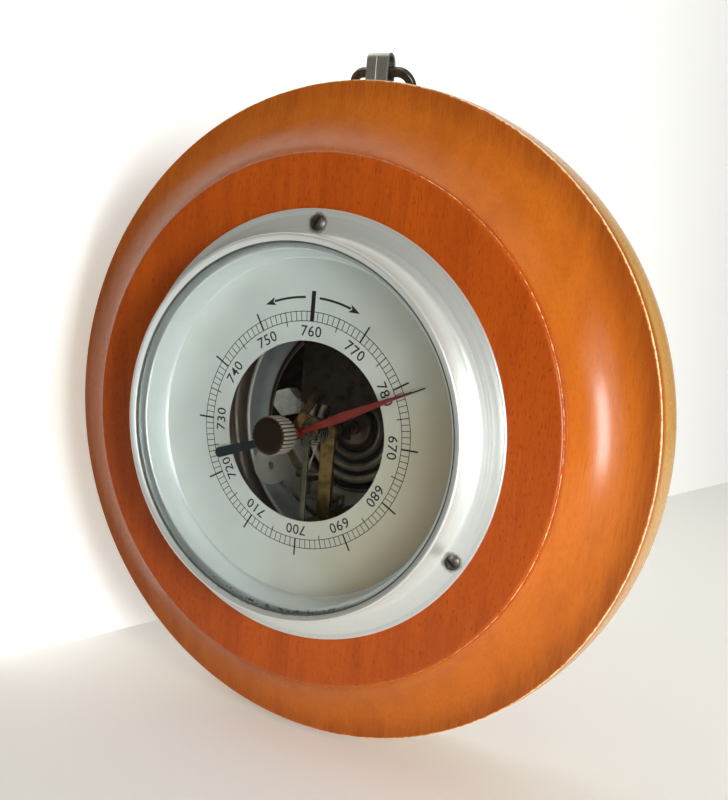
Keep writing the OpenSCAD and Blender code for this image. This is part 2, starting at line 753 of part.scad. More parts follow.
module measuring_hand() {
    color("#1d2733") face_frame() rotate([0, 0, -hand_angle]) difference() {
        union() {
            blade([[-0.6, 0], [-0.15, hand_r], [0.15, hand_r], [0.6, 0]], hand_z);
            rotate([0, 0, -tail_bend]) {
                blade([[-0.75, 0], [0.75, 0], [1.45, 1.45 - tail_r], [-1.45, 1.45 - tail_r]], hand_z);
                translate([0, 1.45 - tail_r, hand_z]) cylinder(r = 1.45, h = hand_t);
            }
            disc(hand_hub_r, hub_z1 - hub_z0, hub_z0);
        }
        hole(arbor_r, hub_z0 - 1, hub_z1 + 1);
    }
}

module set_hand() {
    color("firebrick") face_frame() rotate([0, 0, -hand_angle]) difference() {
        union() {
            blade([[-0.5, 0], [-1.25, 15], [-0.15, set_hand_r], [0.15, set_hand_r], [1.25, 15], [0.5, 0]],
                set_z0 + 0.2);
            disc(set_hub_r, set_hub_h, set_z0);
        }
        hole(spindle_r, set_z0 - 1, set_z0 + set_hub_h + 1);
    }
}

module set_spindle() {
    color("silver") face_frame() disc(spindle_r, knob_z0 + knob_h - 2 - set_z0 - 0.1, set_z0 + 0.1);
}

module set_knob() {
    groove_r = PI * knob_r / knob_grooves * 0.72;
    chamfer = 0.5;
    color("#2a1410") face_frame() translate([0, 0, knob_z0]) difference() {
        rotate_extrude() polygon([[0, 0], [knob_r - 0.3, 0], [knob_r, 0.3], [knob_r, knob_h - chamfer],
            [knob_r - chamfer, knob_h], [0, knob_h]]);
        for (i = [0:knob_grooves - 1]) rotate([0, 0, 360 * i / knob_grooves])
            translate([knob_r + groove_r * 0.25, 0, -1]) cylinder(r = groove_r, h = knob_h + 2, $fn = 24);
        hole(spindle_r, -1, knob_h - 2);
    }
}

module glass_bush() {
    color("goldenrod") face_frame() difference() {
        union() {
            disc(bush_r, glass_t + bush_nut_t + 0.4, glass_z0 - bush_nut_t - 0.4);
            disc(bush_flange_r, bush_flange_t, glass_top);
        }
        hole(spindle_r + bore_gap, glass_z0 - 3, glass_top + 3);
    }
}

module bush_nut() {
    color("goldenrod") face_frame() difference() {
        hexagon(5.6, bush_nut_t, glass_z0 - bush_nut_t);
        hole(bush_r, glass_z0 - 3, glass_z0 + 1);
    }
}

module knob_washer() {
    color("silver") face_frame() tube(2.9, spindle_r + bore_gap, washer_t, glass_top + bush_flange_t);
}

module hanger_strap() {
    c = [loop_y, loop_z];
    y1 = board_edge_r + 1.6;
    y2 = board_edge_r + 4.6;
    groove_w = 0.7;
    groove_d = 0.25;
    mid = leaf_z0 + strap_t;
    outer = concat([[strap_y0, leaf_z0], [y1 - 0.3, leaf_z0], [y2, loop_z - loop_out_r]],
        arc(c, loop_out_r, -90, 90, 16), [[y2, loop_z + loop_out_r], [y1, recess_d], [strap_y0, recess_d]]);
    inner = concat([[y1 + 0.9, mid], [y2 + 0.2, loop_z - loop_in_r]], arc(c, loop_in_r, -90, 90, 16),
        [[y2 + 0.2, loop_z + loop_in_r]]);
    color("lightsteelblue") face_frame() difference() {
        translate([hanger_x, 0, 0]) side_profile(strap_w) difference() {
            polygon(outer);
            polygon(inner);
        }
        for (y = hanger_screw_y) translate([hanger_x, y, 0]) hole(hanger_screw_r + bore_gap, 0, recess_d + 1);
        translate([hanger_x - groove_w / 2, y2, loop_z + loop_out_r - groove_d])
            cube([groove_w, loop_y - y2 + 0.8, 1]);
    }
}

module hanger_ring() {
    bar = ring_stock / 2;
    color("#3b3a3a") face_frame() translate([hanger_x, ring_y, loop_z]) rotate([ring_tilt, 0, 0])
        translate([0, bar - ring_l / 2, -ring_t / 2]) linear_extrude(ring_t) difference() {
            rounded_rect(ring_w, ring_l, 5);
            rounded_rect(ring_w - 2 * ring_stock, ring_l - 2 * ring_stock, 5 - ring_stock);
        }
}

module hanger_screws() {
    color("gray") face_frame() for (y = hanger_screw_y) translate([hanger_x, y, leaf_z0])
        mirror([0, 0, 1]) slotted_screw(2, leaf_z0 - 0.15, hanger_screw_r, 9, 15, 0.3);
}

wood_board();
bezel();
bezel_screws();
glass();
glass_gasket();
reflector_ring();
dial_plate();
case_drum();
base_plate();
base_screws();
spring_bracket();
bracket_bolts();
capsule_lower();
capsule_upper();
capsule_post();
post_nut();
main_spring();
spring_clamp();
clamp_screws();
adjusting_screw();
main_lever();
link_rod();
rocking_shaft();
link_arm();
chain_arm();
shaft_frame();
frame_screws();
drum_chain();
pointer_arbor();
hairspring_collet();
hairspring();
hairspring_stud();
arbor_cock();
cock_pillar();
upper_bridge();
bridge_spacer();
bridge_screw();
measuring_hand();
set_hand();
set_spindle();
set_knob();
glass_bush();
bush_nut();
knob_washer();
hanger_strap();
hanger_ring();
hanger_screws();
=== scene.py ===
import json
import math
import bmesh
import bpy
from mathutils import Matrix, Vector


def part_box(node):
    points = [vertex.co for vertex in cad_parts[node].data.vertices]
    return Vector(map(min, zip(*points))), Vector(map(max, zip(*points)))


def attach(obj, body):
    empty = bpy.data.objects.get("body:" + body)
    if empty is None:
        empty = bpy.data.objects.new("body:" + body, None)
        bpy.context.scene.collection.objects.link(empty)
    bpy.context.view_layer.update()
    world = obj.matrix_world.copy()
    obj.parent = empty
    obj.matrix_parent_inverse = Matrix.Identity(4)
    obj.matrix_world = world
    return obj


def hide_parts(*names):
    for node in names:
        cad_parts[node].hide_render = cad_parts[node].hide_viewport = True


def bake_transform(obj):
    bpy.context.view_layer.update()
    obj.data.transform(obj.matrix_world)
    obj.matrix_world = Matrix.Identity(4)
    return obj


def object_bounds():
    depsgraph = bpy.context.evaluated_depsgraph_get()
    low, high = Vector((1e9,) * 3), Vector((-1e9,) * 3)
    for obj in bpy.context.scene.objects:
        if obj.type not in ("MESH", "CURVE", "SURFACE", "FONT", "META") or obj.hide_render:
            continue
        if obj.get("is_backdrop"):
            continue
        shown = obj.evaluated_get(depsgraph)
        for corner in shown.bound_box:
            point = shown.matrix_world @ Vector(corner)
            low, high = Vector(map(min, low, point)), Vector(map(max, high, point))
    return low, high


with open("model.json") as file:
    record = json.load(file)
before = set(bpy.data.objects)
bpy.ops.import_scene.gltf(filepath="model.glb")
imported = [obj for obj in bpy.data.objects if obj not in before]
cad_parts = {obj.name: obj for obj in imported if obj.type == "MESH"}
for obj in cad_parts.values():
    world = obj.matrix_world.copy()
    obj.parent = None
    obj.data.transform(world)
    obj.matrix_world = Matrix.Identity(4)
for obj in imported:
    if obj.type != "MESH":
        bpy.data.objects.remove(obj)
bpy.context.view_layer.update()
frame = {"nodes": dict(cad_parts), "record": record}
nodes = frame["nodes"]
print("frame loaded:", len(nodes), "nodes")

# the viewer's frame of the dial, in mm: right, up, towards the viewer
faceToWorld = Matrix.Rotation(math.radians(90), 4, "X") @ Matrix.Scale(0.001, 4)


def depthOf(node, front=True):
    # how far a node reaches from the wall, in mm
    low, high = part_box(node)
    return (-low.y if front else -high.y) * 1000


dialTop = depthOf("dial_plate")
boardFront = depthOf("wood_board")

# the photograph's camera, from a fit to the dial's circles and marks
cameraPlace = {
    "eye": (0.1228, -0.2390, 0.0277),
    "forward": (-0.346, 0.9147, -0.209),
    "up": (-0.1768, 0.1552, 0.9719),
    "focalPixels": 830.5,
    "pictureSize": (728, 800),
    "centrePixels": (456.4, 525.1),
}


def addCamera(place):
    width, height = place["pictureSize"]
    data = bpy.data.cameras.new("camera")
    data.sensor_fit = "VERTICAL"
    data.sensor_width = data.sensor_height = 36
    data.lens = 36 * place["focalPixels"] / height
    data.shift_x = (width / 2 - place["centrePixels"][0]) / height
    data.shift_y = (place["centrePixels"][1] - height / 2) / height
    data.clip_start = 0.01
    back = -Vector(place["forward"]).normalized()
    right = Vector(place["up"]).cross(back).normalized()
    up = back.cross(right)
    camera = bpy.data.objects.new("camera", data)
    camera.matrix_world = Matrix.Translation(place["eye"]) @ Matrix((right, up, back)).transposed().to_4x4()
    bpy.context.scene.collection.objects.link(camera)
    bpy.context.scene.camera = camera


addCamera(cameraPlace)

studio = {
    "floorDrop": 0.0002,
    "floorSize": 2.4,
    # the wall stands just left of the board and runs back from it
    "wallFoot": (-0.119, -0.038),
    "wallTurn": 77.65,
    "wallStart": -0.012,
    "wallTop": 1.6,
    # the paper goes over from its far colour to its near one between these distances along y
    "fade": (-0.32, -0.11),
    "nearGlow": (1, 0.99, 0.96),
    "farGlow": (1.1, 1.2, 1.25),
    "floorPaper": (0.80, 0.79, 0.75),
    "farPaper": (0.50, 0.51, 0.50),
    "wallPaper": (0.90, 0.90, 0.90),
    "wallGlow": 0.22,
    "floorGlow": 0.20,
    "skyStrength": 0.17,
    "skyColor": (1.0, 0.91, 0.76),
    "backdrop": (0.80, 0.80, 0.78),
    # name: place, aim, size in metres, watts, colour
    "lights": {
        "window": ((0.80, -0.50, 0.06), (0.02, 0.0, 0.01), (0.20, 0.40), 8.0, (0.97, 1.0, 1.0)),
        "curtain": ((0.76, -0.55, 0.10), (0.02, 0.0, 0.01), (0.60, 0.75), 4.0, (0.98, 1.0, 0.99)),
        "ceiling": ((0.0, 0.02, 0.95), (0.0, 0.06, 0.0), (1.6, 0.8), 2.2, (1.0, 0.97, 0.92)),
    },
}


def addSheet(name, corners, color, farColor, glow, farGlow):
    # one plain sheet of backdrop, which turns darker far in front of the object and is clear from behind
    mesh = bpy.data.meshes.new(name)
    mesh.from_pydata(corners, [], [(0, 1, 2, 3)])
    sheet = bpy.data.objects.new(name, mesh)
    bpy.context.scene.collection.objects.link(sheet)
    paper = bpy.data.materials.new(name)
    paper.use_nodes = True
    tree = paper.node_tree
    shader = tree.nodes["Principled BSDF"]
    place = addNode(tree, "ShaderNodeTexCoord").outputs["Object"]
    near = stretch(tree, addNode(tree, "ShaderNodeSeparateXYZ", {0: place}).outputs["Y"], *studio["fade"])
    behind = tree.nodes.new("ShaderNodeNewGeometry").outputs["Backfacing"]
    setShader(tree, shader, {
        "Base Color": mixColor(tree, near, (*farColor, 1), (*color, 1)), "Roughness": 0.8,
        "Alpha": calc(tree, "SUBTRACT", 1.0, behind),
        "Emission Color": mixColor(tree, near, (*farGlow, 1), (*studio["nearGlow"], 1)),
        "Emission Strength": glow})
    mesh.materials.append(paper)
    sheet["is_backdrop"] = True


def addStudio(s):
    far, half, top = s["floorSize"], s["floorSize"] / 2, s["wallTop"]
    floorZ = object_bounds()[0].z - s["floorDrop"]
    floor = [(-half, -half, floorZ), (half, -half, floorZ), (half, far, floorZ), (-half, far, floorZ)]
    turn = math.radians(s["wallTurn"])
    x, y = s["wallFoot"]
    a, b = [(x + math.cos(turn) * along, y + math.sin(turn) * along) for along in (s["wallStart"], far)]
    wall = [(*a, floorZ), (*b, floorZ), (*b, top), (*a, top)]
    addSheet("studio_floor", floor, s["floorPaper"], s["farPaper"], s["floorGlow"], s["farGlow"])
    addSheet("studio_wall", wall, s["wallPaper"], s["wallPaper"], s["wallGlow"], (1, 1, 1))
    world = bpy.data.worlds.new("studio")
    world.use_nodes = True
    sky = world.node_tree.nodes["Background"]
    # the light is dim and warm, but the empty room looks pale
    seen = world.node_tree.nodes.new("ShaderNodeLightPath").outputs["Is Camera Ray"]
    glow = [s["skyStrength"] * c for c in s["skyColor"]]
    world.node_tree.links.new(mixColor(world.node_tree, seen, (*glow, 1), (*s["backdrop"], 1)), sky.inputs["Color"])
    bpy.context.scene.world = world
    for name, (place, aim, size, watts, color) in s["lights"].items():
        data = bpy.data.lights.new(name, "AREA")
        data.shape = "RECTANGLE"
        data.size, data.size_y = size
        data.energy = watts
        data.color = color
        light = bpy.data.objects.new(name, data)
        light.location = place
        light.rotation_euler = (Vector(aim) - Vector(place)).to_track_quat("-Z", "Y").to_euler()
        bpy.context.scene.collection.objects.link(light)
    bpy.context.scene.view_settings.view_transform = "Standard"


# node helpers
def addNode(tree, kind, inputs=None, **settings):
    made = tree.nodes.new(kind)
    for key, value in settings.items():
        setattr(made, key, value)
    for key, value in (inputs or {}).items():
        if isinstance(value, bpy.types.NodeSocket):
            tree.links.new(value, made.inputs[key])
        else:
            made.inputs[key].default_value = value
    return made


def calc(tree, operation, a, b=0.0, clamp=False):
    return addNode(tree, "ShaderNodeMath", {0: a, 1: b}, operation=operation, use_clamp=clamp).outputs[0]


def mixColor(tree, factor, a, b):
    return addNode(tree, "ShaderNodeMix", {0: factor, 6: a, 7: b}, data_type="RGBA").outputs[2]


def stretch(tree, value, low, high, toLow=0.0, toHigh=1.0):
    made = addNode(tree, "ShaderNodeMapRange", {0: value, 1: low, 2: high, 3: toLow, 4: toHigh},
                   interpolation_type="SMOOTHSTEP")
    return made.outputs[0]


def noise(tree, vector, scale, detail=3.0, roughness=0.5, distortion=0.0):
    made = addNode(tree, "ShaderNodeTexNoise", {"Vector": vector, "Scale": scale, "Detail": detail,
                                                "Roughness": roughness, "Distortion": distortion})
    return made.outputs[0]


def scaled(tree, vector, factors):
    return addNode(tree, "ShaderNodeVectorMath", {0: vector, 1: factors}, operation="MULTIPLY").outputs[0]


def newGroup(name, inputs, outputs):
    group = bpy.data.node_groups.new(name, "ShaderNodeTree")
    for label, kind, value in inputs:
        socket = group.interface.new_socket(name=label, in_out="INPUT", socket_type="NodeSocket" + kind)
        if value is not None:
            socket.default_value = value
    for label, kind in outputs:
        group.interface.new_socket(name=label, in_out="OUTPUT", socket_type="NodeSocket" + kind)
    return group, group.nodes.new("NodeGroupInput"), group.nodes.new("NodeGroupOutput")


def ringDistance(tree, vector):
    # distance from the dial's axis
    flat = scaled(tree, vector, (1, 0, 1))
    return addNode(tree, "ShaderNodeVectorMath", {0: flat}, operation="LENGTH").outputs["Value"]


def makeWoodFigure():
    group, start, end = newGroup("woodFigure", [
        ("Vector", "Vector", None), ("Base", "Color", (0.5, 0.15, 0.03, 1)),
        ("Streak", "Color", (0.3, 0.07, 0.01, 1)), ("Streak Amount", "Float", 0.5),
        ("Fleck", "Color", (0.12, 0.03, 0.01, 1)), ("Fleck Amount", "Float", 0.5)],
        [("Color", "Color"), ("Height", "Float")])
    v = start.outputs["Vector"]
    # grain runs up the board
    band = noise(group, scaled(group, v, (0.16, 0.16, 0.012)), 1.0, 5.0, 0.62, 0.6)
    streak = calc(group, "MULTIPLY", stretch(group, band, 0.42, 0.68), start.outputs["Streak Amount"])
    cloud = noise(group, scaled(group, v, (0.02, 0.02, 0.014)), 1.0, 3.0, 0.5)
    tone = mixColor(group, streak, start.outputs["Base"], start.outputs["Streak"])
    tone = mixColor(group, stretch(group, cloud, 0.35, 0.7, 0.0, 0.35), tone, start.outputs["Streak"])
    fine = noise(group, scaled(group, v, (2.2, 2.2, 0.12)), 1.0, 3.0, 0.65)
    speck = stretch(group, noise(group, scaled(group, v, (2.6, 2.6, 0.5)), 1.0, 2.0, 0.55), 0.57, 0.7)
    fleck = calc(group, "MULTIPLY", speck, start.outputs["Fleck Amount"])
    pores = calc(group, "MULTIPLY", stretch(group, fine, 0.45, 0.68), 0.5)
    tone = mixColor(group, pores, tone, start.outputs["Streak"])
    tone = mixColor(group, fleck, tone, start.outputs["Fleck"])
    group.links.new(tone, end.inputs["Color"])
    height = calc(group, "ADD", calc(group, "MULTIPLY", fine, 0.4), calc(group, "MULTIPLY", fleck, -0.4))
    group.links.new(height, end.inputs["Height"])
    return group


def makeRingWearAndHighlight():
    # chipped pale line along a turned edge, worn wood that on the ridge is also a painted highlight
    group, start, end = newGroup("ringWearAndHighlight", [
        ("Vector", "Vector", None), ("Radius", "Float", 95.0), ("Depth", "Float", 25.0), ("Spread", "Float", 0.5),
        ("Amount", "Float", 0.5)], [("Mask", "Float")])
    v = start.outputs["Vector"]
    parts = addNode(group, "ShaderNodeSeparateXYZ", {0: v})
    across = calc(group, "SUBTRACT", ringDistance(group, v), start.outputs["Radius"])
    along = calc(group, "ADD", parts.outputs["Y"], start.outputs["Depth"])
    square = calc(group, "ADD", calc(group, "MULTIPLY", across, across), calc(group, "MULTIPLY", along, along))
    away = calc(group, "SQRT", square)
    near = calc(group, "SUBTRACT", 1.0, calc(group, "DIVIDE", away, start.outputs["Spread"]), True)
    rough = noise(group, v, 0.55, 5.0, 0.7)
    level = calc(group, "SUBTRACT", 1.0, start.outputs["Amount"])
    wearAndHighlight = calc(group, "SUBTRACT", calc(group, "ADD", near, rough), level)
    group.links.new(stretch(group, wearAndHighlight, 0.55, 0.8), end.inputs["Mask"])
    return group


def makeSpunLines():
    # fine turning marks round the dial's axis
    group, start, end = newGroup("spunLines", [
        ("Vector", "Vector", None), ("Density", "Float", 6.0)], [("Lines", "Float"), ("Broad", "Float")])
    v = start.outputs["Vector"]
    parts = addNode(group, "ShaderNodeSeparateXYZ", {0: v})
    radius = ringDistance(group, v)
    turned = addNode(group, "ShaderNodeCombineXYZ", {0: radius, 1: parts.outputs["Y"]}).outputs[0]
    fine = addNode(group, "ShaderNodeVectorMath", {0: turned, "Scale": start.outputs["Density"]}, operation="SCALE")
    group.links.new(noise(group, fine.outputs[0], 1.0, 4.0, 0.75), end.inputs["Lines"])
    group.links.new(noise(group, turned, 0.8, 2.0, 0.5), end.inputs["Broad"])
    return group


def makeGrime():
    # scattered specks and soft dirty patches
    group, start, end = newGroup("grime", [
        ("Vector", "Vector", None), ("Size", "Float", 1.0), ("Amount", "Float", 0.3)],
        [("Specks", "Float"), ("Patches", "Float")])
    v = start.outputs["Vector"]
    near = addNode(group, "ShaderNodeVectorMath", {0: v, "Scale": calc(group, "DIVIDE", 1.0, start.outputs["Size"])},
                   operation="SCALE").outputs[0]
    speck = noise(group, near, 1.3, 2.0, 0.5)
    level = calc(group, "SUBTRACT", 0.86, calc(group, "MULTIPLY", start.outputs["Amount"], 0.2))
    specks = stretch(group, calc(group, "SUBTRACT", speck, level), 0.0, 0.04)
    patch = noise(group, near, 0.12, 4.0, 0.6)
    patches = calc(group, "MULTIPLY", stretch(group, patch, 0.45, 0.75), start.outputs["Amount"])
    group.links.new(specks, end.inputs["Specks"])
    group.links.new(patches, end.inputs["Patches"])
    return group


def makeMetalAge():
    # uneven tone, fine scratches and a faint pitting
    group, start, end = newGroup("metalAge", [
        ("Vector", "Vector", None), ("Bright", "Color", (0.7, 0.7, 0.7, 1)), ("Dull", "Color", (0.4, 0.4, 0.4, 1)),
        ("Amount", "Float", 0.5)], [("Color", "Color"), ("Dull Mask", "Float"), ("Height", "Float")])
    v = start.outputs["Vector"]
    cloud = noise(group, v, 0.35, 4.0, 0.6)
    fine = noise(group, v, 3.0, 3.0, 0.6)
    scratch = noise(group, scaled(group, v, (9.0, 0.7, 0.9)), 1.0, 2.0, 0.5)
    mask = calc(group, "MULTIPLY", stretch(group, cloud, 0.38, 0.68), start.outputs["Amount"])
    mask = calc(group, "ADD", mask, calc(group, "MULTIPLY", stretch(group, fine, 0.55, 0.75), 0.25), True)
    group.links.new(mixColor(group, mask, start.outputs["Bright"], start.outputs["Dull"]), end.inputs["Color"])
    group.links.new(mask, end.inputs["Dull Mask"])
    group.links.new(calc(group, "ADD", scratch, fine), end.inputs["Height"])
    return group


groups = {
    "woodFigure": makeWoodFigure(),
    "ringWearAndHighlight": makeRingWearAndHighlight(),
    "spunLines": makeSpunLines(),
    "grime": makeGrime(),
    "metalAge": makeMetalAge(),
}


def useGroup(tree, name, inputs):
    return addNode(tree, "ShaderNodeGroup", inputs, node_tree=groups[name])


def startMaterial(name):
    made = bpy.data.materials.new(name)
    made.use_nodes = True
    tree = made.node_tree
    shader = tree.nodes["Principled BSDF"]
    coords = tree.nodes.new("ShaderNodeTexCoord")
    inMm = addNode(tree, "ShaderNodeMapping", {"Vector": coords.outputs["Object"], "Scale": (1000, 1000, 1000)})
    return made, tree, shader, inMm.outputs[0]


def setShader(tree, shader, values):
    for key, value in values.items():
        if isinstance(value, bpy.types.NodeSocket):
            tree.links.new(value, shader.inputs[key])
        else:
            shader.inputs[key].default_value = value


def addBump(tree, shader, height, strength, distance):
    bump = addNode(tree, "ShaderNodeBump", {"Height": height, "Strength": strength, "Distance": distance})
    tree.links.new(bump.outputs[0], shader.inputs["Normal"])


addStudio(studio)
print("camera, floor and lights made")

beechLook = {
    # colours of the flat ring, then of the hollow outside it, painted lighter and more orange as painted light, then
    # of the side
    "base": (0.46, 0.080, 0.005, 1),
    "streak": (0.30, 0.042, 0.003, 1),
    "coveBase": (0.50, 0.125, 0.010, 1),
    "coveStreak": (0.37, 0.080, 0.007, 1),
    "edgeStreak": (0.24, 0.045, 0.005, 1),
    "side": (0.52, 0.28, 0.07, 1),
    "fleck": (0.13, 0.022, 0.003, 1),
    "bareAndHighlight": (0.84, 0.56, 0.26, 1),
    # radius, depth, spread, amount of each worn turned edge; the ridge's pale line is also a painted highlight
    "wearAndHighlightEdges": {"outer": (95.0, 25.0, 1.3, 0.42), "ridge": (73.3, 39.2, 0.9, 0.34)},
    "ringRadius": 73.6,
    "edgeRadius": 95.0,
}


def makeBeech(look):
    made, tree, shader, mm = startMaterial("stained beech")
    radius = ringDistance(tree, mm)
    inCove = stretch(tree, radius, look["ringRadius"] - 0.4, look["ringRadius"] + 0.8)
    # the whole back has the hollow's colour
    atBack = stretch(tree, addNode(tree, "ShaderNodeSeparateXYZ", {0: mm}).outputs["Y"], -12, -6)
    inCove = calc(tree, "MAXIMUM", inCove, atBack)
    nearEdge = stretch(tree, radius, look["edgeRadius"] - 9, look["edgeRadius"] - 1)
    onSide = stretch(tree, radius, look["edgeRadius"] + 0.1, look["edgeRadius"] + 0.7)
    # painted light: the hollow is lighter and more orange than the flat ring
    base = mixColor(tree, inCove, look["base"], look["coveBase"])
    streak = mixColor(tree, inCove, look["streak"], look["coveStreak"])
    streak = mixColor(tree, nearEdge, streak, look["edgeStreak"])
    flecks = calc(tree, "SUBTRACT", 0.72, calc(tree, "MULTIPLY", inCove, 0.5))
    figure = useGroup(tree, "woodFigure", {"Vector": mm, "Base": mixColor(tree, onSide, base, look["side"]),
                                           "Streak": streak, "Fleck": look["fleck"], "Fleck Amount": flecks,
                                           "Streak Amount": 0.5})
    color = mixColor(tree, calc(tree, "MULTIPLY", nearEdge, 0.35), figure.outputs["Color"], look["edgeStreak"])
    color = mixColor(tree, calc(tree, "MULTIPLY", onSide, 0.75), color, look["side"])
    wearAndHighlight = None
    for radius, depth, spread, amount in look["wearAndHighlightEdges"].values():
        mask = useGroup(tree, "ringWearAndHighlight", {"Vector": mm, "Radius": radius, "Depth": depth, "Spread": spread,
                                           "Amount": amount}).outputs[0]
        wearAndHighlight = mask if wearAndHighlight is None else calc(tree, "MAXIMUM", wearAndHighlight, mask)
    dirt = useGroup(tree, "grime", {"Vector": mm, "Size": 0.55, "Amount": 0.35})
    # pale worn edges, on the ridge also a painted highlight
    color = mixColor(tree, wearAndHighlight, color, look["bareAndHighlight"])
    color = mixColor(tree, calc(tree, "MULTIPLY", dirt.outputs["Specks"], 0.7), color, look["bareAndHighlight"])
    rough = stretch(tree, dirt.outputs["Patches"], 0.0, 0.4, 0.26, 0.36)
    rough = calc(tree, "ADD", rough, calc(tree, "MULTIPLY", wearAndHighlight, 0.3))
    setShader(tree, shader, {"Base Color": color, "Roughness": rough, "Specular IOR Level": 0.06, "Coat Weight": 0.36,
                             "Coat Roughness": 0.2})
    height = calc(tree, "SUBTRACT", figure.outputs["Height"], calc(tree, "MULTIPLY", wearAndHighlight, 0.8))
    addBump(tree, shader, height, 0.22, 0.0001)
    return made


def makeMetal(name, bright, dull, roughness, amount=0.5, bump=0.15, metallic=1.0):
    made, tree, shader, mm = startMaterial(name)
    age = useGroup(tree, "metalAge", {"Vector": mm, "Bright": (*bright, 1), "Dull": (*dull, 1), "Amount": amount})
    rough = stretch(tree, age.outputs["Dull Mask"], 0.0, 1.0, roughness, min(1.0, roughness + 0.25))
    setShader(tree, shader, {"Base Color": age.outputs["Color"], "Roughness": rough, "Metallic": metallic})
    addBump(tree, shader, age.outputs["Height"], bump, 0.00005)
    return made


# brown dirt low in the rim's corner and round the screws, in mm; each pair is where it starts and is full
rimDirt = {
    "color": (0.13, 0.085, 0.035, 1),
    "amount": 0.75,
    "radius": 48.9,
    "halfWidth": (0.8, 0.2),
    "below": (-40, -47.5),
    "spot": (4.0, 2.9),
    "screws": ((0, 55.2), (47.8, -27.6), (-47.8, -27.6)),
}


def stainMask(tree, mm, d, places):
    height = addNode(tree, "ShaderNodeSeparateXYZ", {0: mm}).outputs["Z"]
    off = calc(tree, "ABSOLUTE", calc(tree, "SUBTRACT", ringDistance(tree, mm), d["radius"]))
    low = calc(tree, "MULTIPLY", stretch(tree, height, *d["below"]), stretch(tree, off, *d["halfWidth"]))
    flakes = noise(tree, mm, 0.9, 4.0, 0.65)
    mask = calc(tree, "MULTIPLY", low, stretch(tree, flakes, 0.5, 0.6))
    flat = scaled(tree, mm, (1, 0, 1))
    for x, z in places:
        away = addNode(tree, "ShaderNodeVectorMath", {0: flat, 1: (x, 0, z)}, operation="DISTANCE").outputs["Value"]
        edge = calc(tree, "ADD", away, calc(tree, "MULTIPLY", flakes, 1.6))
        mask = calc(tree, "MAXIMUM", mask, stretch(tree, edge, *d["spot"]))
    return calc(tree, "MULTIPLY", mask, d["amount"])


def makeSpunMetal(name, bright, dull, roughness, dirt, lines, metallic, dirty=False, stains=()):
    made, tree, shader, mm = startMaterial(name)
    spun = useGroup(tree, "spunLines", {"Vector": mm, "Density": 7.0})
    grime = useGroup(tree, "grime", {"Vector": mm, "Size": 0.8, "Amount": dirt})
    tone = mixColor(tree, stretch(tree, spun.outputs["Lines"], 0.3, 0.75), (*bright, 1), (*dull, 1))
    tone = mixColor(tree, calc(tree, "MULTIPLY", grime.outputs["Specks"], 0.7), tone, (0.12, 0.10, 0.07, 1))
    tone = mixColor(tree, calc(tree, "MULTIPLY", grime.outputs["Patches"], 0.5), tone, (*dull, 1))
    if dirty:
        tone = mixColor(tree, stainMask(tree, mm, rimDirt, stains), tone, rimDirt["color"])
    rough = stretch(tree, spun.outputs["Broad"], 0.3, 0.7, roughness, roughness + 0.12)
    setShader(tree, shader, {"Base Color": tone, "Roughness": rough, "Metallic": metallic})
    addBump(tree, shader, spun.outputs["Lines"], lines, 0.00006)
    return made


# bare sheet metal with painted reflections: a pale bluish floor that goes darker grey further out, a painted
# highlight on the bead, a painted brown reflection on the wall outside it, darker brown in the middle and a pale
# brown line inside it; the radii are in mm
drumLook = {
    "floor": (0.90, 0.98, 1.0, 1),
    "outerFloor": (0.56, 0.60, 0.62, 1),
    "patch": (0.34, 0.29, 0.22, 1),
    "middle": (0.10, 0.070, 0.045, 1),
    "wall": (0.12, 0.088, 0.065, 1),
    "bead": (0.92, 0.90, 0.84, 1),
    "paleLine": (0.42, 0.32, 0.24, 1),
    "beadRadius": 43.1,
    "paleLineRadius": 33.9,
}


def makeDrumMetal(look):
    made, tree, shader, mm = startMaterial("slate drum")
    grime = useGroup(tree, "grime", {"Vector": mm, "Size": 1.2, "Amount": 0.5})
    radius = ringDistance(tree, mm)
    # painted reflections: pale bluish floor, darker grey further out
    tone = mixColor(tree, stretch(tree, radius, 36.5, 40.5), look["floor"], look["outerFloor"])
    tone = mixColor(tree, grime.outputs["Patches"], tone, look["patch"])
    tone = mixColor(tree, stretch(tree, radius, 35.6, 34.8), tone, look["middle"])
    # painted reflection: brown wall
    tone = mixColor(tree, stretch(tree, radius, 43.7, 44.1), tone, look["wall"])
    fromBead = calc(tree, "ABSOLUTE", calc(tree, "SUBTRACT", radius, look["beadRadius"]))
    fromPaleLine = calc(tree, "ABSOLUTE", calc(tree, "SUBTRACT", radius, look["paleLineRadius"]))
    paleLine = calc(tree, "MULTIPLY", stretch(tree, fromPaleLine, 0.5, 0.1), 0.7)
    # painted highlight along the bead
    tone = mixColor(tree, stretch(tree, fromBead, 0.7, 0.35), tone, look["bead"])
    tone = mixColor(tree, paleLine, tone, look["paleLine"])
    setShader(tree, shader, {"Base Color": tone, "Roughness": 0.3, "Metallic": 0.2})
    return made


# the waves of the capsule's top, in mm from the dial's axis
capsuleWaves = {"first": 5.0, "pitch": 3.7, "count": 3, "last": 16.1}
# pale crests over hollows painted near black as painted shade, and painted shade towards the middle
capsuleLook = {
    "bright": (0.90, 0.80, 0.62, 1),
    "dull": (0.56, 0.46, 0.31, 1),
    "middle": (0.16, 0.11, 0.07, 1),
    "shadedHollow": (0.035, 0.026, 0.018, 1),
    "rimHeights": (-11.9, -11.1),
    "rimRadii": (16.4, 16.6),
}


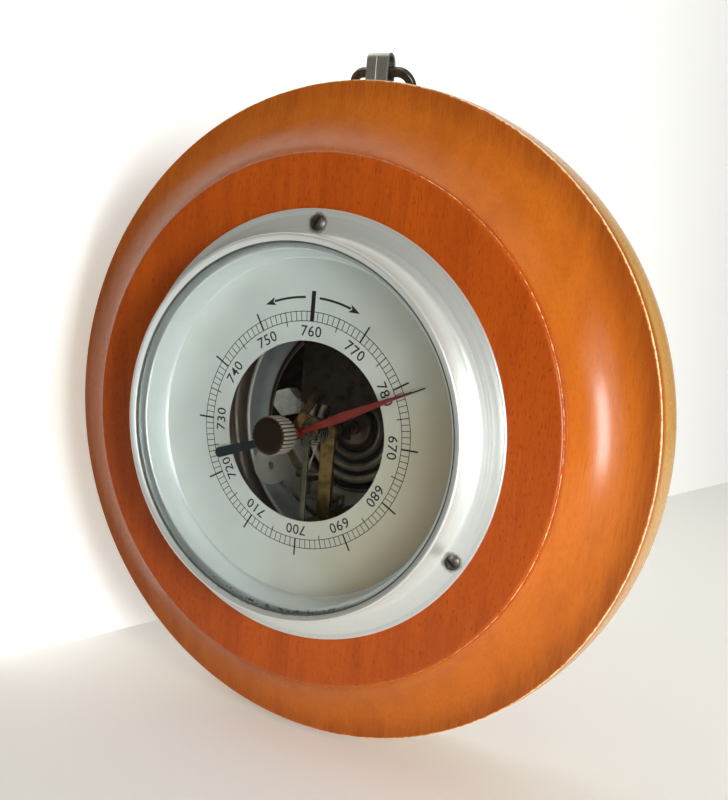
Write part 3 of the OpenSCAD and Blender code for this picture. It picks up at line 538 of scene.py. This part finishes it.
def makeCapsuleMetal(look, w):
    made, tree, shader, mm = startMaterial("tinned capsule")
    height = addNode(tree, "ShaderNodeSeparateXYZ", {0: mm}).outputs["Y"]
    radius = ringDistance(tree, mm)
    inWaves = calc(tree, "MINIMUM", calc(tree, "MAXIMUM", radius, w["first"]), w["last"])
    along = calc(tree, "SUBTRACT", inWaves, w["first"])
    wave = calc(tree, "COSINE", calc(tree, "MULTIPLY", along, math.tau / w["pitch"]))
    # painted shade in the hollow by the rim
    shadedRimHollow = calc(tree, "MULTIPLY", stretch(tree, height, *look["rimHeights"]),
                     stretch(tree, radius, *look["rimRadii"]))
    shadedHollow = calc(tree, "MAXIMUM", stretch(tree, wave, 0.286, -0.857), shadedRimHollow)
    age = useGroup(tree, "metalAge", {"Vector": mm, "Bright": look["bright"], "Dull": look["dull"], "Amount": 0.6})
    outward = stretch(tree, radius, w["first"], 17.0)
    # painted shade: darker towards the middle and near black in the wave hollows
    tone = mixColor(tree, outward, look["middle"], age.outputs["Color"])
    tone = mixColor(tree, shadedHollow, tone, look["shadedHollow"])
    rough = calc(tree, "ADD", 0.3, calc(tree, "MULTIPLY", shadedHollow, 0.3))
    setShader(tree, shader, {"Base Color": tone, "Roughness": rough, "Metallic": 0.6})
    addBump(tree, shader, age.outputs["Height"], 0.1, 0.00005)
    return made


def makePainted(name, color, second, roughness, bump=0.1, coat=0.0):
    made, tree, shader, mm = startMaterial(name)
    cloud = noise(tree, mm, 0.3, 4.0, 0.6)
    grain = noise(tree, mm, 6.0, 2.0, 0.5)
    tone = mixColor(tree, stretch(tree, cloud, 0.35, 0.7), (*color, 1), (*second, 1))
    rough = stretch(tree, grain, 0.3, 0.7, roughness - 0.05, roughness + 0.08)
    setShader(tree, shader, {"Base Color": tone, "Roughness": rough, "Coat Weight": coat})
    addBump(tree, shader, grain, bump, 0.00004)
    return made


# dark brown, with the crests of the ribs worn grey and painted lighter as a painted highlight; the crests lie between
# two distances from the axis in mm
knobLook = {"brown": (0.011, 0.0045, 0.002, 1), "wearAndHighlight": (0.16, 0.14, 0.115, 1), "crests": (4.72, 5.02)}


def makeBakelite(look):
    made, tree, shader, mm = startMaterial("brown bakelite")
    crest = stretch(tree, ringDistance(tree, mm), *look["crests"])
    # crests worn grey, lighter all round as a painted highlight
    tone = mixColor(tree, crest, look["brown"], look["wearAndHighlight"])
    setShader(tree, shader, {"Base Color": tone, "Roughness": 0.3, "Specular IOR Level": 0.2})
    return made


dialLook = {
    "silver": (0.76, 0.80, 0.76, 1),
    "dull": (0.69, 0.73, 0.69, 1),
    "speck": (0.3, 0.27, 0.22, 1),
    # painted shade from the rim, tinted warm brown, towards the lower right
    "rimShade": (0.59, 0.47, 0.29, 1),
    "rimShadeTowards": (0.86, 0, -0.38),
    "rimShadeFrom": 2,
    "rimShadeTo": 57,
}


def makeSilveredDial(look):
    made, tree, shader, mm = startMaterial("silvered dial")
    grain = noise(tree, mm, 5.0, 3.0, 0.6)
    cloud = noise(tree, mm, 0.06, 3.0, 0.5)
    grime = useGroup(tree, "grime", {"Vector": mm, "Size": 0.5, "Amount": 0.2})
    tone = mixColor(tree, stretch(tree, cloud, 0.3, 0.7), look["silver"], look["dull"])
    # painted shade of the rim towards the lower right, made uneven
    across = addNode(tree, "ShaderNodeVectorMath", {0: mm, 1: look["rimShadeTowards"]},
                     operation="DOT_PRODUCT").outputs["Value"]
    uneven = calc(tree, "ADD", across, calc(tree, "MULTIPLY", cloud, 16))
    rimShaded = stretch(tree, uneven, look["rimShadeFrom"], look["rimShadeTo"], 0.0, 0.88)
    tone = mixColor(tree, rimShaded, tone, look["rimShade"])
    tone = mixColor(tree, calc(tree, "MULTIPLY", grime.outputs["Specks"], 0.4), tone, look["speck"])
    setShader(tree, shader, {"Base Color": tone, "Roughness": stretch(tree, grain, 0.3, 0.7, 0.46, 0.58),
                             "Metallic": 0.08})
    addBump(tree, shader, grain, 0.12, 0.00003)
    return made


def makeGlass():
    made, tree, shader, mm = startMaterial("clear pane")
    smear = noise(tree, mm, 0.05, 4.0, 0.6)
    rough = stretch(tree, smear, 0.45, 0.7, 0.0, 0.03)
    setShader(tree, shader, {"Base Color": (0.97, 0.99, 0.98, 1), "Roughness": rough, "Transmission Weight": 1.0,
                             "IOR": 1.12})
    return made


def makeInk():
    made, tree, shader, mm = startMaterial("black print")
    wear = noise(tree, mm, 2.5, 4.0, 0.6)
    tone = mixColor(tree, stretch(tree, wear, 0.5, 0.8), (0.008, 0.008, 0.009, 1), (0.035, 0.035, 0.036, 1))
    setShader(tree, shader, {"Base Color": tone, "Roughness": 0.5})
    return made


# metals: name, bright and dull colour, roughness, amount of age, bump, share of metal
# paints: name, two colours, roughness, bump, coat
materials = {
    "beech": makeBeech(beechLook),
    "spun_aluminium": makeSpunMetal("spun aluminium", (0.84, 0.86, 0.84), (0.72, 0.74, 0.71), roughness=0.30,
                                    dirt=0.35, lines=0.9, metallic=0.75, dirty=True, stains=rimDirt["screws"]),
    "dark_steel": makeMetal("tarnished steel", (0.15, 0.14, 0.13), (0.045, 0.036, 0.030), 0.40, 0.8, 0.3),
    "bright_steel": makeMetal("bright steel", (0.62, 0.62, 0.58), (0.34, 0.33, 0.30), 0.30, 0.6),
    "browned_steel": makeMetal("browned steel", (0.045, 0.028, 0.020), (0.018, 0.011, 0.008), 0.45, 0.8, 0.2, 0.5),
    "blued_steel": makeMetal("blued steel", (0.022, 0.031, 0.038), (0.010, 0.014, 0.018), 0.42, 0.5, 0.1, 0.4),
    "pane": makeGlass(),
    "black_rubber": makePainted("black rubber", (0.075, 0.090, 0.080), (0.045, 0.052, 0.045), 0.5, 0.2),
    "silvered_metal": makeSpunMetal("silvered ring", (0.94, 0.98, 0.99), (0.82, 0.86, 0.86), roughness=0.34,
                                    dirt=0.35, lines=0.4, metallic=0.7, dirty=True),
    "silvered_dial": makeSilveredDial(dialLook),
    "slate_paint": makeDrumMetal(drumLook),
    "grey_plate": makeSpunMetal("grey plate", (0.96, 0.94, 0.86), (0.82, 0.79, 0.70), roughness=0.36, dirt=0.3,
                                lines=0.1, metallic=0.06),
    "capsule_metal": makeCapsuleMetal(capsuleLook, capsuleWaves),
    "brass_work": makeMetal("old brass", (0.33, 0.21, 0.075), (0.13, 0.08, 0.03), 0.34, 0.8),
    "pale_brass": makeMetal("pale brass", (0.62, 0.52, 0.28), (0.36, 0.29, 0.14), 0.30, 0.6),
    "red_paint": makePainted("red hand paint", (0.20, 0.015, 0.010), (0.14, 0.010, 0.007), 0.34, 0.05, 0.1),
    "brown_bakelite": makeBakelite(knobLook),
    "print": makeInk(),
}
# looks of single pieces that share a slot with lighter ones; the darker brass is painted shade and the near-white
# bolt is painted light
agedSteel = makeMetal("aged bridge steel", (0.11, 0.10, 0.065), (0.05, 0.045, 0.03), 0.34, 0.6, 0.15, 0.7)
shadedBrass = makeMetal("darkened brass", (0.16, 0.09, 0.05), (0.06, 0.03, 0.02), 0.32, 0.8, 0.15, 0.8)
litBolt = makeMetal("grey bolt", (0.98, 0.97, 0.90), (0.84, 0.83, 0.75), 0.26, 0.4, 0.1, 0.12)
pieceLooks = {"upper_bridge": agedSteel, "capsule_post": shadedBrass, "post_nut": shadedBrass, "chain_arm": agedSteel,
              "main_lever": shadedBrass, "bracket_bolts": litBolt}
slotOf = {s["node"]: s["material_slot"] for s in frame["record"]["subparts"]}
bodyOf = {n: b for b, members in frame["record"]["behaviour"]["bodies"].items() for n in members}
for name, node in nodes.items():
    node.data.materials.clear()
    node.data.materials.append(materials[slotOf[name]])
print("materials made:", len(materials))


# piece helpers
def arcPoints(centre, radius, startDeg, endDeg, count):
    steps = [math.radians(startDeg + (endDeg - startDeg) * i / count) for i in range(count + 1)]
    return [(centre[0] + radius * math.cos(a), centre[1] + radius * math.sin(a)) for a in steps]


def spinOutline(bm, outline, steps=192):
    # closed outline in (distance from the dial's axis, height), turned round that axis
    verts = [bm.verts.new((r, 0, z)) for r, z in outline]
    edges = [bm.edges.new(pair) for pair in zip(verts, verts[1:])]
    edges.append(bm.edges.new((verts[-1], verts[0])))
    bmesh.ops.spin(bm, geom=verts + edges, cent=(0, 0, 0), axis=(0, 0, 1), dvec=(0, 0, 0), angle=math.tau,
                   steps=steps, use_merge=True, use_duplicate=False)
    bmesh.ops.remove_doubles(bm, verts=bm.verts[:], dist=0.001)
    bmesh.ops.recalc_face_normals(bm, faces=bm.faces[:])


def finishPiece(bm, name, slot, body, replaced=(), sharpAngle=30, inFace=True, look=None, bend=None):
    # the shape as a smooth-shaded object that rides on a body, or, when given a bend, is left unparented with its
    # placement baked in
    if inFace:
        bmesh.ops.transform(bm, matrix=faceToWorld, verts=bm.verts[:])
    mesh = bpy.data.meshes.new(name)
    bm.to_mesh(mesh)
    bm.free()
    mesh.polygons.foreach_set("use_smooth", [True] * len(mesh.polygons))
    mesh.set_sharp_from_angle(angle=math.radians(sharpAngle))
    mesh.materials.append(look or materials[slot])
    piece = bpy.data.objects.new(name, mesh)
    bpy.context.scene.collection.objects.link(piece)
    if bend:
        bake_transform(piece)
    else:
        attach(piece, body)
    if replaced:
        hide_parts(*replaced)
    return piece


def addBevel(piece, width):
    bevel = piece.modifiers.new("soft edges", "BEVEL")
    bevel.width = width / 1000
    bevel.segments = 2
    bevel.limit_method = "ANGLE"
    bevel.angle_limit = math.radians(35)
    bevel.harden_normals = True


springLow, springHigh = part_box("main_spring")
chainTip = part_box("drum_chain")[0]
# nodes given a bend, which here only leaves them unparented with their placement baked in: the two bodies that the
# bend names, and the two points between which it would go over, in metres
bends = {
    "main_spring": ("board", "lever", (0, springHigh.y - 0.001, 0), (0, springLow.y + 0.001, 0)),
    "drum_chain": ("rocker", "board", chainTip, (0, chainTip.y, 0)),
}


def softenedCopy(node, bevelWidth):
    # the CAD node's shape, which is in metres, with its sharp edges broken
    bm = bmesh.new()
    bm.from_mesh(nodes[node].data)
    bmesh.ops.remove_doubles(bm, verts=bm.verts[:], dist=0.000002)
    bmesh.ops.dissolve_limit(bm, angle_limit=math.radians(0.5), verts=bm.verts[:], edges=bm.edges[:],
                             use_dissolve_boundaries=False, delimit=set())
    piece = finishPiece(bm, node + "_soft", slotOf[node], bodyOf[node], [node], inFace=False,
                        look=pieceLooks.get(node), bend=bends.get(node))
    if bevelWidth:
        addBevel(piece, bevelWidth)


boardShape = {
    "edgeRadius": 95.0,
    "ringRadius": 73.5,
    "edgeHeight": 25.2,
    "bulge": 1.3,
    "ridge": 1.1,
    "step": 0.35,
    "backRound": 2.0,
    "taper": 0.4,
    "pocketRadius": 48.9,
    "web": 4.0,
    "accessHole": (0.0, 24.65, 4.0),  # right, up, radius
    "recess": {"middle": -6.2, "halfWidth": 3.7, "from": 72.0, "beyond": 120, "depth": 2.6},
}


def boardOutline(s, front):
    # the hollow is one arc from the foot of the flat ring to just inside the board's edge
    coveStart, coveTop = s["ringRadius"] + s["step"], front - s["ridge"] - 1.4
    coveEnd, coveFloor = s["edgeRadius"] - 0.6, s["edgeHeight"] + 0.35
    across, drop = coveEnd - coveStart, coveTop - coveFloor
    coveRadius = (across * across + drop * drop) / (2 * drop)
    steep = 180 + math.degrees(math.asin((coveRadius - drop) / coveRadius))
    backEdge = s["edgeRadius"] - s["backRound"] + s["taper"]
    side = s["edgeHeight"] - 0.5 - s["backRound"]
    points = [(0, 0), (backEdge, 0)]
    points += arcPoints((backEdge, s["backRound"]), s["backRound"], -90, -8, 8)[1:]
    points += [(s["edgeRadius"] + s["taper"] * (1 - k) + s["bulge"] * math.sin(math.pi * k),
                s["backRound"] + side * k) for k in (i / 24 for i in range(1, 24))]
    points += arcPoints((s["edgeRadius"] - 0.5, s["edgeHeight"] - 0.5), 0.5, 0, 80, 6)
    points += arcPoints((coveEnd, coveFloor + coveRadius), coveRadius, 270, steep, 64)
    points += [(s["ringRadius"] + 0.05, front - s["ridge"] - 1.25), (s["ringRadius"], front - s["ridge"] - 0.9)]
    points += arcPoints((s["ringRadius"] - s["ridge"], front - s["ridge"]), s["ridge"], 0, 90, 10)
    points += [(s["ringRadius"] - 2.2, front), (s["pocketRadius"] + 0.6, front), (s["pocketRadius"], front - 0.4),
               (s["pocketRadius"], s["web"] + 0.6), (s["pocketRadius"] - 0.6, s["web"]), (0, s["web"])]
    return points


def cutWith(piece, cutters, sharpAngle):
    # takes each cutter's shape out of the piece, keeps the result as its mesh and marks its sharp edges anew
    for bm in cutters:
        bmesh.ops.transform(bm, matrix=faceToWorld, verts=bm.verts[:])
        bmesh.ops.recalc_face_normals(bm, faces=bm.faces[:])
        mesh = bpy.data.meshes.new("cutter")
        bm.to_mesh(mesh)
        bm.free()
        tool = bpy.data.objects.new("cutter", mesh)
        bpy.context.scene.collection.objects.link(tool)
        cut = piece.modifiers.new("cut", "BOOLEAN")
        cut.operation = "DIFFERENCE"
        cut.solver = "EXACT"
        cut.object = tool
        bpy.context.view_layer.update()
        result = bpy.data.meshes.new_from_object(piece.evaluated_get(bpy.context.evaluated_depsgraph_get()))
        piece.modifiers.clear()
        old, piece.data = piece.data, result
        bpy.data.meshes.remove(old)
        bpy.data.objects.remove(tool)
        bpy.data.meshes.remove(mesh)
    piece.data.set_sharp_from_angle(angle=math.radians(sharpAngle))


def blockCutter(low, high):
    bm = bmesh.new()
    bmesh.ops.create_cube(bm, size=1)
    size = Vector(high) - Vector(low)
    bmesh.ops.scale(bm, vec=size, verts=bm.verts[:])
    bmesh.ops.translate(bm, vec=Vector(low) + size / 2, verts=bm.verts[:])
    return bm


def rodCutter(centre, radius, low, high):
    bm = bmesh.new()
    bmesh.ops.create_cone(bm, cap_ends=True, segments=48, radius1=radius, radius2=radius, depth=high - low)
    bmesh.ops.translate(bm, vec=(centre[0], centre[1], (low + high) / 2), verts=bm.verts[:])
    return bm


def makeBoard(s):
    bm = bmesh.new()
    spinOutline(bm, boardOutline(s, boardFront), steps=256)
    piece = finishPiece(bm, "turned_board", "beech", "board", ["wood_board"])
    r = s["recess"]
    x, y, radius = s["accessHole"]
    left, right = r["middle"] - r["halfWidth"], r["middle"] + r["halfWidth"]
    recess = blockCutter((left, r["from"], -1), (right, r["beyond"], r["depth"]))
    cutWith(piece, [recess, rodCutter((x, y), radius, -1, s["web"] + 1)], sharpAngle=32)


makeBoard(boardShape)
print("board made")

bezelShape = {
    "flangeRadius": 59.0,
    "flange": 1.0,
    "rimRadius": 51.2,
    "wall": 0.9,
    "rimHeight": 12.0,
    "lip": 0.9,
    "foot": 2.2,
    "screwRing": 55.2,
    "screwRadius": 2.2,
    "screwHead": 1.3,
    "screwSide": 0.35,
    "screwSlot": (6, 0.6, 1.4),
    "slotTurn": (62, -38, 15),
}


def makeBezel(s):
    edge, rim = s["flangeRadius"], s["rimRadius"]
    foot, face, top = boardFront, boardFront + s["flange"], boardFront + s["rimHeight"]
    bore, under = rim - s["wall"], top - s["lip"]
    wallFoot = face + 3
    points = [(bore, foot), (edge - 0.3, foot), (edge, foot + 0.3), (edge, face - 0.3)]
    points += arcPoints((edge - 0.4, face - 0.35), 0.4, 10, 90, 6)
    points += [(edge - 1.2, face - 0.1), (edge - 2.0, face - 0.12)]
    points += arcPoints((rim + s["foot"] + 0.15, wallFoot - 0.3), s["foot"], 265, 184, 16)
    points += [(rim, wallFoot + 1), (rim, top - 0.9)]
    points += arcPoints((rim - 0.6, top - 0.6), 0.6, 0, 106, 10)
    points += [(bore - 0.8, under + 0.42), (bore - 1, under + 0.25), (bore - 1, under), (bore, under)]
    bm = bmesh.new()
    spinOutline(bm, points, steps=256)
    finishPiece(bm, "spun_bezel", "spun_aluminium", "board", ["bezel"], sharpAngle=40)


makeBezel(bezelShape)


def domedHead(bm, radius, height, side, matrix):
    # closed screw head with a domed top, standing at height 0
    rise = height - side
    ball = (radius * radius + rise * rise) / (2 * rise)
    steep = math.degrees(math.asin(radius / ball))
    outline = [(0, 0), (radius, 0)] + arcPoints((0, height - ball), ball, 90 - steep, 90, 8)[:-1] + [(0, height)]
    head = bmesh.new()
    spinOutline(head, outline, steps=40)
    bmesh.ops.transform(head, matrix=matrix, verts=head.verts[:])
    mesh = bpy.data.meshes.new("head")
    head.to_mesh(mesh)
    head.free()
    bm.from_mesh(mesh)
    bpy.data.meshes.remove(mesh)


def makeBezelScrews(s):
    heads, slots = bmesh.new(), bmesh.new()
    for i, turn in enumerate(s["slotTurn"]):
        angle = math.radians(120 * i)
        place = Matrix.Translation((s["screwRing"] * math.sin(angle), s["screwRing"] * math.cos(angle),
                                    boardFront + s["flange"] - 0.1)) @ Matrix.Rotation(math.radians(turn), 4, "Z")
        domedHead(heads, s["screwRadius"], s["screwHead"], s["screwSide"], place)
        made = bmesh.ops.create_cube(slots, size=1)["verts"]
        bmesh.ops.scale(slots, vec=s["screwSlot"], verts=made)
        bmesh.ops.transform(slots, matrix=place @ Matrix.Translation((0, 0, s["screwHead"])), verts=made)
    piece = finishPiece(heads, "bezel_screw_heads", "dark_steel", "board", ["bezel_screws"])
    cutWith(piece, [slots], sharpAngle=35)


makeBezelScrews(bezelShape)
print("bezel made")

reflectorShape = {
    "outer": 50.1,
    "land": 2.6,
    "flat": 46.4,
    "edge": 0.25,
    "shoulder": 2.2,
    "round": 0.45,
    "underGlass": 0.05,
}


def makeReflector(s):
    low, glassLow = dialTop, depthOf("glass", front=False) - s["underGlass"]
    inner = s["outer"] - s["land"]
    coveTop = glassLow - s["shoulder"]
    points = [(s["outer"], low), (s["outer"], glassLow)]
    points += arcPoints((inner + s["round"], glassLow - s["round"]), s["round"], 90, 180, 6) + [(inner, coveTop)]
    points += [(s["flat"] + s["edge"] + (inner - s["flat"] - s["edge"]) * math.cos(a),
                coveTop - (coveTop - low - s["edge"]) * math.sin(a))
               for a in (math.pi / 2 * i / 24 for i in range(1, 25))]
    points += [(s["flat"], low)]
    bm = bmesh.new()
    spinOutline(bm, points)
    finishPiece(bm, "hollow_ring", "silvered_metal", "board", ["reflector_ring"], sharpAngle=40)


makeReflector(reflectorShape)

# the dial's printing, in degrees clockwise from the top and mm from the dial's centre
dialPrint = {
    "lift": 0.012,
    "thickness": 0.02,
    "spin": 0.5,
    "degreesPerUnit": 3.0,
    "innerCircle": 30.1,
    "outerCircle": 32.6,
    "lineWidth": 0.2,
    "unitTick": 0.2,
    "fiveInner": 28.9,
    "fiveTick": 0.26,
    "tenOuter": 35.0,
    "tenTick": 0.48,
    "topOuter": 38.0,
    "topTick": 1.25,
    "numberRadius": 27.3,
    "numberHeight": 2.9,
    "numberStretch": 1.04,
    "numberSpacing": 1.06,
    "numberWeight": 0.02,
    "firstNumber": 670,
    "firstAngle": 90,
    "arrow": {"radius": 36.3, "from": 3.4, "to": 19.0, "width": 0.6, "head": 3.0, "headWidth": 2.2},
}


def printBar(bm, inner, outer, width, angle):
    # one tick as a thin block
    made = bmesh.ops.create_cube(bm, size=1)["verts"]
    bmesh.ops.scale(bm, vec=(width, outer - inner, dialPrint["thickness"]), verts=made)
    bmesh.ops.translate(bm, vec=(0, (inner + outer) / 2, 0), verts=made)
    bmesh.ops.rotate(bm, cent=(0, 0, 0), matrix=Matrix.Rotation(math.radians(-angle), 3, "Z"), verts=made)


def printArc(bm, radius, width, startDeg, endDeg, count):
    # thin curved line, or a whole circle
    half = dialPrint["thickness"] / 2
    inner, outer = radius - width / 2, radius + width / 2
    turn = math.radians(startDeg)
    verts = [bm.verts.new((math.sin(turn) * r, math.cos(turn) * r, z))
             for r, z in ((inner, -half), (outer, -half), (outer, half), (inner, half))]
    edges = [bm.edges.new((verts[i], verts[(i + 1) % 4])) for i in range(4)]
    whole = abs(endDeg - startDeg) >= 360
    geom = verts + edges if whole else verts + edges + [bm.faces.new(verts)]
    bmesh.ops.spin(bm, geom=geom, cent=(0, 0, 0), axis=(0, 0, 1), dvec=(0, 0, 0),
                   angle=-math.radians(endDeg - startDeg), steps=count, use_merge=whole, use_duplicate=False)


def printArrow(bm, a, side):
    printArc(bm, a["radius"], a["width"], side * a["from"], side * a["to"], 10)
    half, wing = dialPrint["thickness"] / 2, a["headWidth"] / 2
    tip = a["to"] + math.degrees(a["head"] / a["radius"])
    barb, notch = a["to"] - 0.6, a["to"] + 0.7
    corners = []
    for angle, radius in ((tip, a["radius"]), (barb, a["radius"] + wing), (notch, a["radius"]),
                          (barb, a["radius"] - wing)):
        turn = math.radians(side * angle)
        corners.append(bm.verts.new((math.sin(turn) * radius, math.cos(turn) * radius, -half)))
    head = bm.faces.new(corners)
    raised = bmesh.ops.extrude_face_region(bm, geom=[head])["geom"]
    bmesh.ops.translate(bm, vec=(0, 0, 2 * half), verts=[g for g in raised if isinstance(g, bmesh.types.BMVert)])


def makeScale(p):
    bm = bmesh.new()
    units = round(360 / p["degreesPerUnit"])
    for i in range(units):
        angle = i * p["degreesPerUnit"] + p["spin"]
        if i == 0:
            printBar(bm, p["innerCircle"], p["topOuter"], p["topTick"], angle)
        elif i % 10 == 0:
            printBar(bm, p["innerCircle"], p["tenOuter"], p["tenTick"], angle)
        elif i % 5 == 0:
            printBar(bm, p["fiveInner"], p["outerCircle"], p["fiveTick"], angle)
        else:
            printBar(bm, p["innerCircle"], p["outerCircle"], p["unitTick"], angle)
    for radius in (p["innerCircle"], p["outerCircle"]):
        printArc(bm, radius, p["lineWidth"], 0, 360, 180)
    for side in (-1, 1):
        printArrow(bm, p["arrow"], side)
    bmesh.ops.recalc_face_normals(bm, faces=bm.faces[:])
    bmesh.ops.translate(bm, vec=(0, 0, dialTop + p["lift"]), verts=bm.verts[:])
    finishPiece(bm, "dial_scale_print", "print", "board")


def textMesh(words, p):
    curve = bpy.data.curves.new("words", "FONT")
    curve.body = words
    curve.size = p["numberHeight"] / 0.72  # a digit is 0.72 of the letter size
    curve.align_x = "CENTER"
    curve.align_y = "CENTER"
    curve.extrude = p["thickness"] / 2
    curve.resolution_u = 3
    curve.offset = p["numberWeight"]
    curve.space_character = p["numberSpacing"]
    holder = bpy.data.objects.new("words", curve)
    bpy.context.scene.collection.objects.link(holder)
    bpy.context.view_layer.update()
    mesh = bpy.data.meshes.new_from_object(holder.evaluated_get(bpy.context.evaluated_depsgraph_get()))
    bpy.data.objects.remove(holder)
    bpy.data.curves.remove(curve)
    mesh.transform(Matrix.Diagonal((p["numberStretch"], 1, 1, 1)))
    return mesh


def makeNumbers(p):
    bm = bmesh.new()
    step = 10 * p["degreesPerUnit"]
    for i in range(round(360 / step)):
        angle = p["firstAngle"] + step * i + p["spin"]
        mesh = textMesh(str(p["firstNumber"] + 10 * i), p)
        turn = Matrix.Rotation(math.radians(-angle), 4, "Z")
        mesh.transform(turn @ Matrix.Translation((0, p["numberRadius"], 0)))
        bm.from_mesh(mesh)
        bpy.data.meshes.remove(mesh)
    bmesh.ops.remove_doubles(bm, verts=bm.verts[:], dist=0.001)
    bmesh.ops.translate(bm, vec=(0, 0, dialTop + p["lift"]), verts=bm.verts[:])
    finishPiece(bm, "dial_numbers_print", "print", "board")


makeScale(dialPrint)
makeNumbers(dialPrint)
print("dial printed")

drumShape = {
    "radius": 48.6,
    "wall": 0.6,
    "fillet": 3.2,
    "floor": 5.4,
    "access": (0.0, 24.65, 2.2),  # right, up, radius
    "bead": (43.1, 0.6, 0.5),  # radius, half width, height
}


def makeDrum(s):
    top = depthOf("case_drum")
    inner, bend = s["radius"] - s["wall"], s["fillet"] - s["wall"]
    corner = (s["radius"] - s["fillet"], s["floor"] + s["fillet"])
    points = [(0, s["floor"])] + arcPoints(corner, s["fillet"], 270, 360, 16)
    points += [(s["radius"], top), (inner, top)]
    points += arcPoints(corner, bend, 360, 270, 16)
    beadRadius, beadHalf, beadHeight = s["bead"]
    points += [(beadRadius + beadHalf * math.cos(a), s["floor"] + s["wall"] + beadHeight * math.sin(a) ** 2)
               for a in (math.pi * i / 12 for i in range(13))]
    points += [(0, s["floor"] + s["wall"])]
    bm = bmesh.new()
    spinOutline(bm, points)
    piece = finishPiece(bm, "spun_drum", "slate_paint", "board", ["case_drum"])
    x, y, radius = s["access"]
    cutWith(piece, [rodCutter((x, y), radius, s["floor"] - 1, s["floor"] + s["wall"] + 1)], sharpAngle=50)


makeDrum(drumShape)

knobShape = {
    "ribs": 28,
    "perRib": 8,
    "ribDepth": 0.55,
    # distance in from the rib tops, height below the front, share of the rib depth
    "levels": ((0.35, 6.0, 0.6), (0.0, 5.65, 1.0), (0.0, 0.95, 1.0), (0.12, 0.55, 0.8), (0.42, 0.2, 0.35),
               (0.8, 0.05, 0.0), (1.3, 0.0, 0.0), (2.6, 0.06, 0.0), (4.2, 0.1, 0.0)),
}


def makeKnob(s):
    low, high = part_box("set_knob")
    radius, front = (high.x - low.x) / 2 * 1000, depthOf("set_knob")
    count = s["ribs"] * s["perRib"]
    bm = bmesh.new()
    rings = []
    for inset, below, depth in s["levels"]:
        ring = []
        for i in range(count):
            angle = math.tau * i / count
            groove = s["ribDepth"] * depth * (1 - abs(math.cos(angle * s["ribs"] / 2))) ** 1.1
            r = radius - inset - groove
            ring.append(bm.verts.new((r * math.cos(angle), r * math.sin(angle), front - below)))
        rings.append(ring)
    for a, b in zip(rings, rings[1:]):
        for i in range(count):
            bm.faces.new((a[i], a[(i + 1) % count], b[(i + 1) % count], b[i]))
    for ring, z in ((rings[0], front - s["levels"][0][1]), (rings[-1], front - s["levels"][-1][1])):
        middle = bm.verts.new((0, 0, z))
        for i in range(count):
            bm.faces.new((ring[i], ring[(i + 1) % count], middle))
    bmesh.ops.recalc_face_normals(bm, faces=bm.faces[:])
    finishPiece(bm, "ribbed_knob", "brown_bakelite", "setter", ["set_knob"], sharpAngle=50)


makeKnob(knobShape)

capsuleShape = {"rim": 20.2, "wave": 0.7, "crest": 12.4, "bead": 0.55}


def makeCapsuleTop(s, w):
    middle = depthOf("capsule_upper", front=False)
    level = s["crest"] - s["wave"]
    last, steps = w["last"], w["count"] * 16
    line = [(w["first"] + (last - w["first"]) * i / steps,
             level + s["wave"] * math.cos(math.tau * w["count"] * i / steps)) for i in range(steps + 1)]
    beadMiddle = (s["rim"] - s["bead"] - 0.02, middle + s["bead"] + 0.1)
    foot = (beadMiddle[0] - s["bead"] - 0.2, middle + 0.45)
    bm = bmesh.new()
    spinOutline(bm, [(0, s["crest"])] + line + [(last + 0.8, level + 0.25), (last + 1.5, middle + 0.75), foot,
                                                (foot[0], middle), (0, middle)], steps=160)
    # the rim stays on the lower half; the waves are given a bend between the board and the post's stem, which here
    # only leaves them unparented
    rise = ("board", "capsule_stem", (0, -foot[1] / 1000, 0), (0, -(level - s["wave"]) / 1000, 0))
    finishPiece(bm, "capsule_top_smooth", "capsule_metal", None, ["capsule_upper"], sharpAngle=60, bend=rise)
    bm = bmesh.new()
    spinOutline(bm, [(foot[0] - 0.3, middle), (foot[0] - 0.3, foot[1] - 0.05), foot]
                + arcPoints(beadMiddle, s["bead"], 190, 0, 14) + [(s["rim"], middle)], steps=160)
    finishPiece(bm, "capsule_rim_bead", "capsule_metal", bodyOf["capsule_upper"], ["capsule_upper"], sharpAngle=60)


makeCapsuleTop(capsuleShape, capsuleWaves)

# bevel width in mm of each node that is shown as a softened copy
softNodes = {
    "dial_plate": 0.05, "base_plate": 0.18, "base_screws": 0.1, "spring_bracket": 0.15, "bracket_bolts": 0.22,
    "capsule_post": 0.1, "post_nut": 0.1, "main_spring": 0.15, "spring_clamp": 0.2, "clamp_screws": 0.12,
    "adjusting_screw": 0.15, "main_lever": 0.08, "link_rod": 0.05, "rocking_shaft": 0.06, "link_arm": 0.08,
    "chain_arm": 0.07, "shaft_frame": 0.12, "frame_screws": 0.12, "drum_chain": 0, "pointer_arbor": 0.05,
    "hairspring_collet": 0.06, "hairspring": 0, "hairspring_stud": 0.06, "arbor_cock": 0.14, "cock_pillar": 0.15,
    "upper_bridge": 0.1, "bridge_spacer": 0.1, "bridge_screw": 0.1, "measuring_hand": 0.06, "set_hand": 0.07,
    "set_spindle": 0.08, "glass_bush": 0.12, "bush_nut": 0.12, "knob_washer": 0.1, "hanger_strap": 0.14,
    "hanger_ring": 0.3, "hanger_screws": 0.15, "glass_gasket": 0, "capsule_lower": 0,
}
for name, width in softNodes.items():
    softenedCopy(name, width)
print("movement, hands and hanger softened")
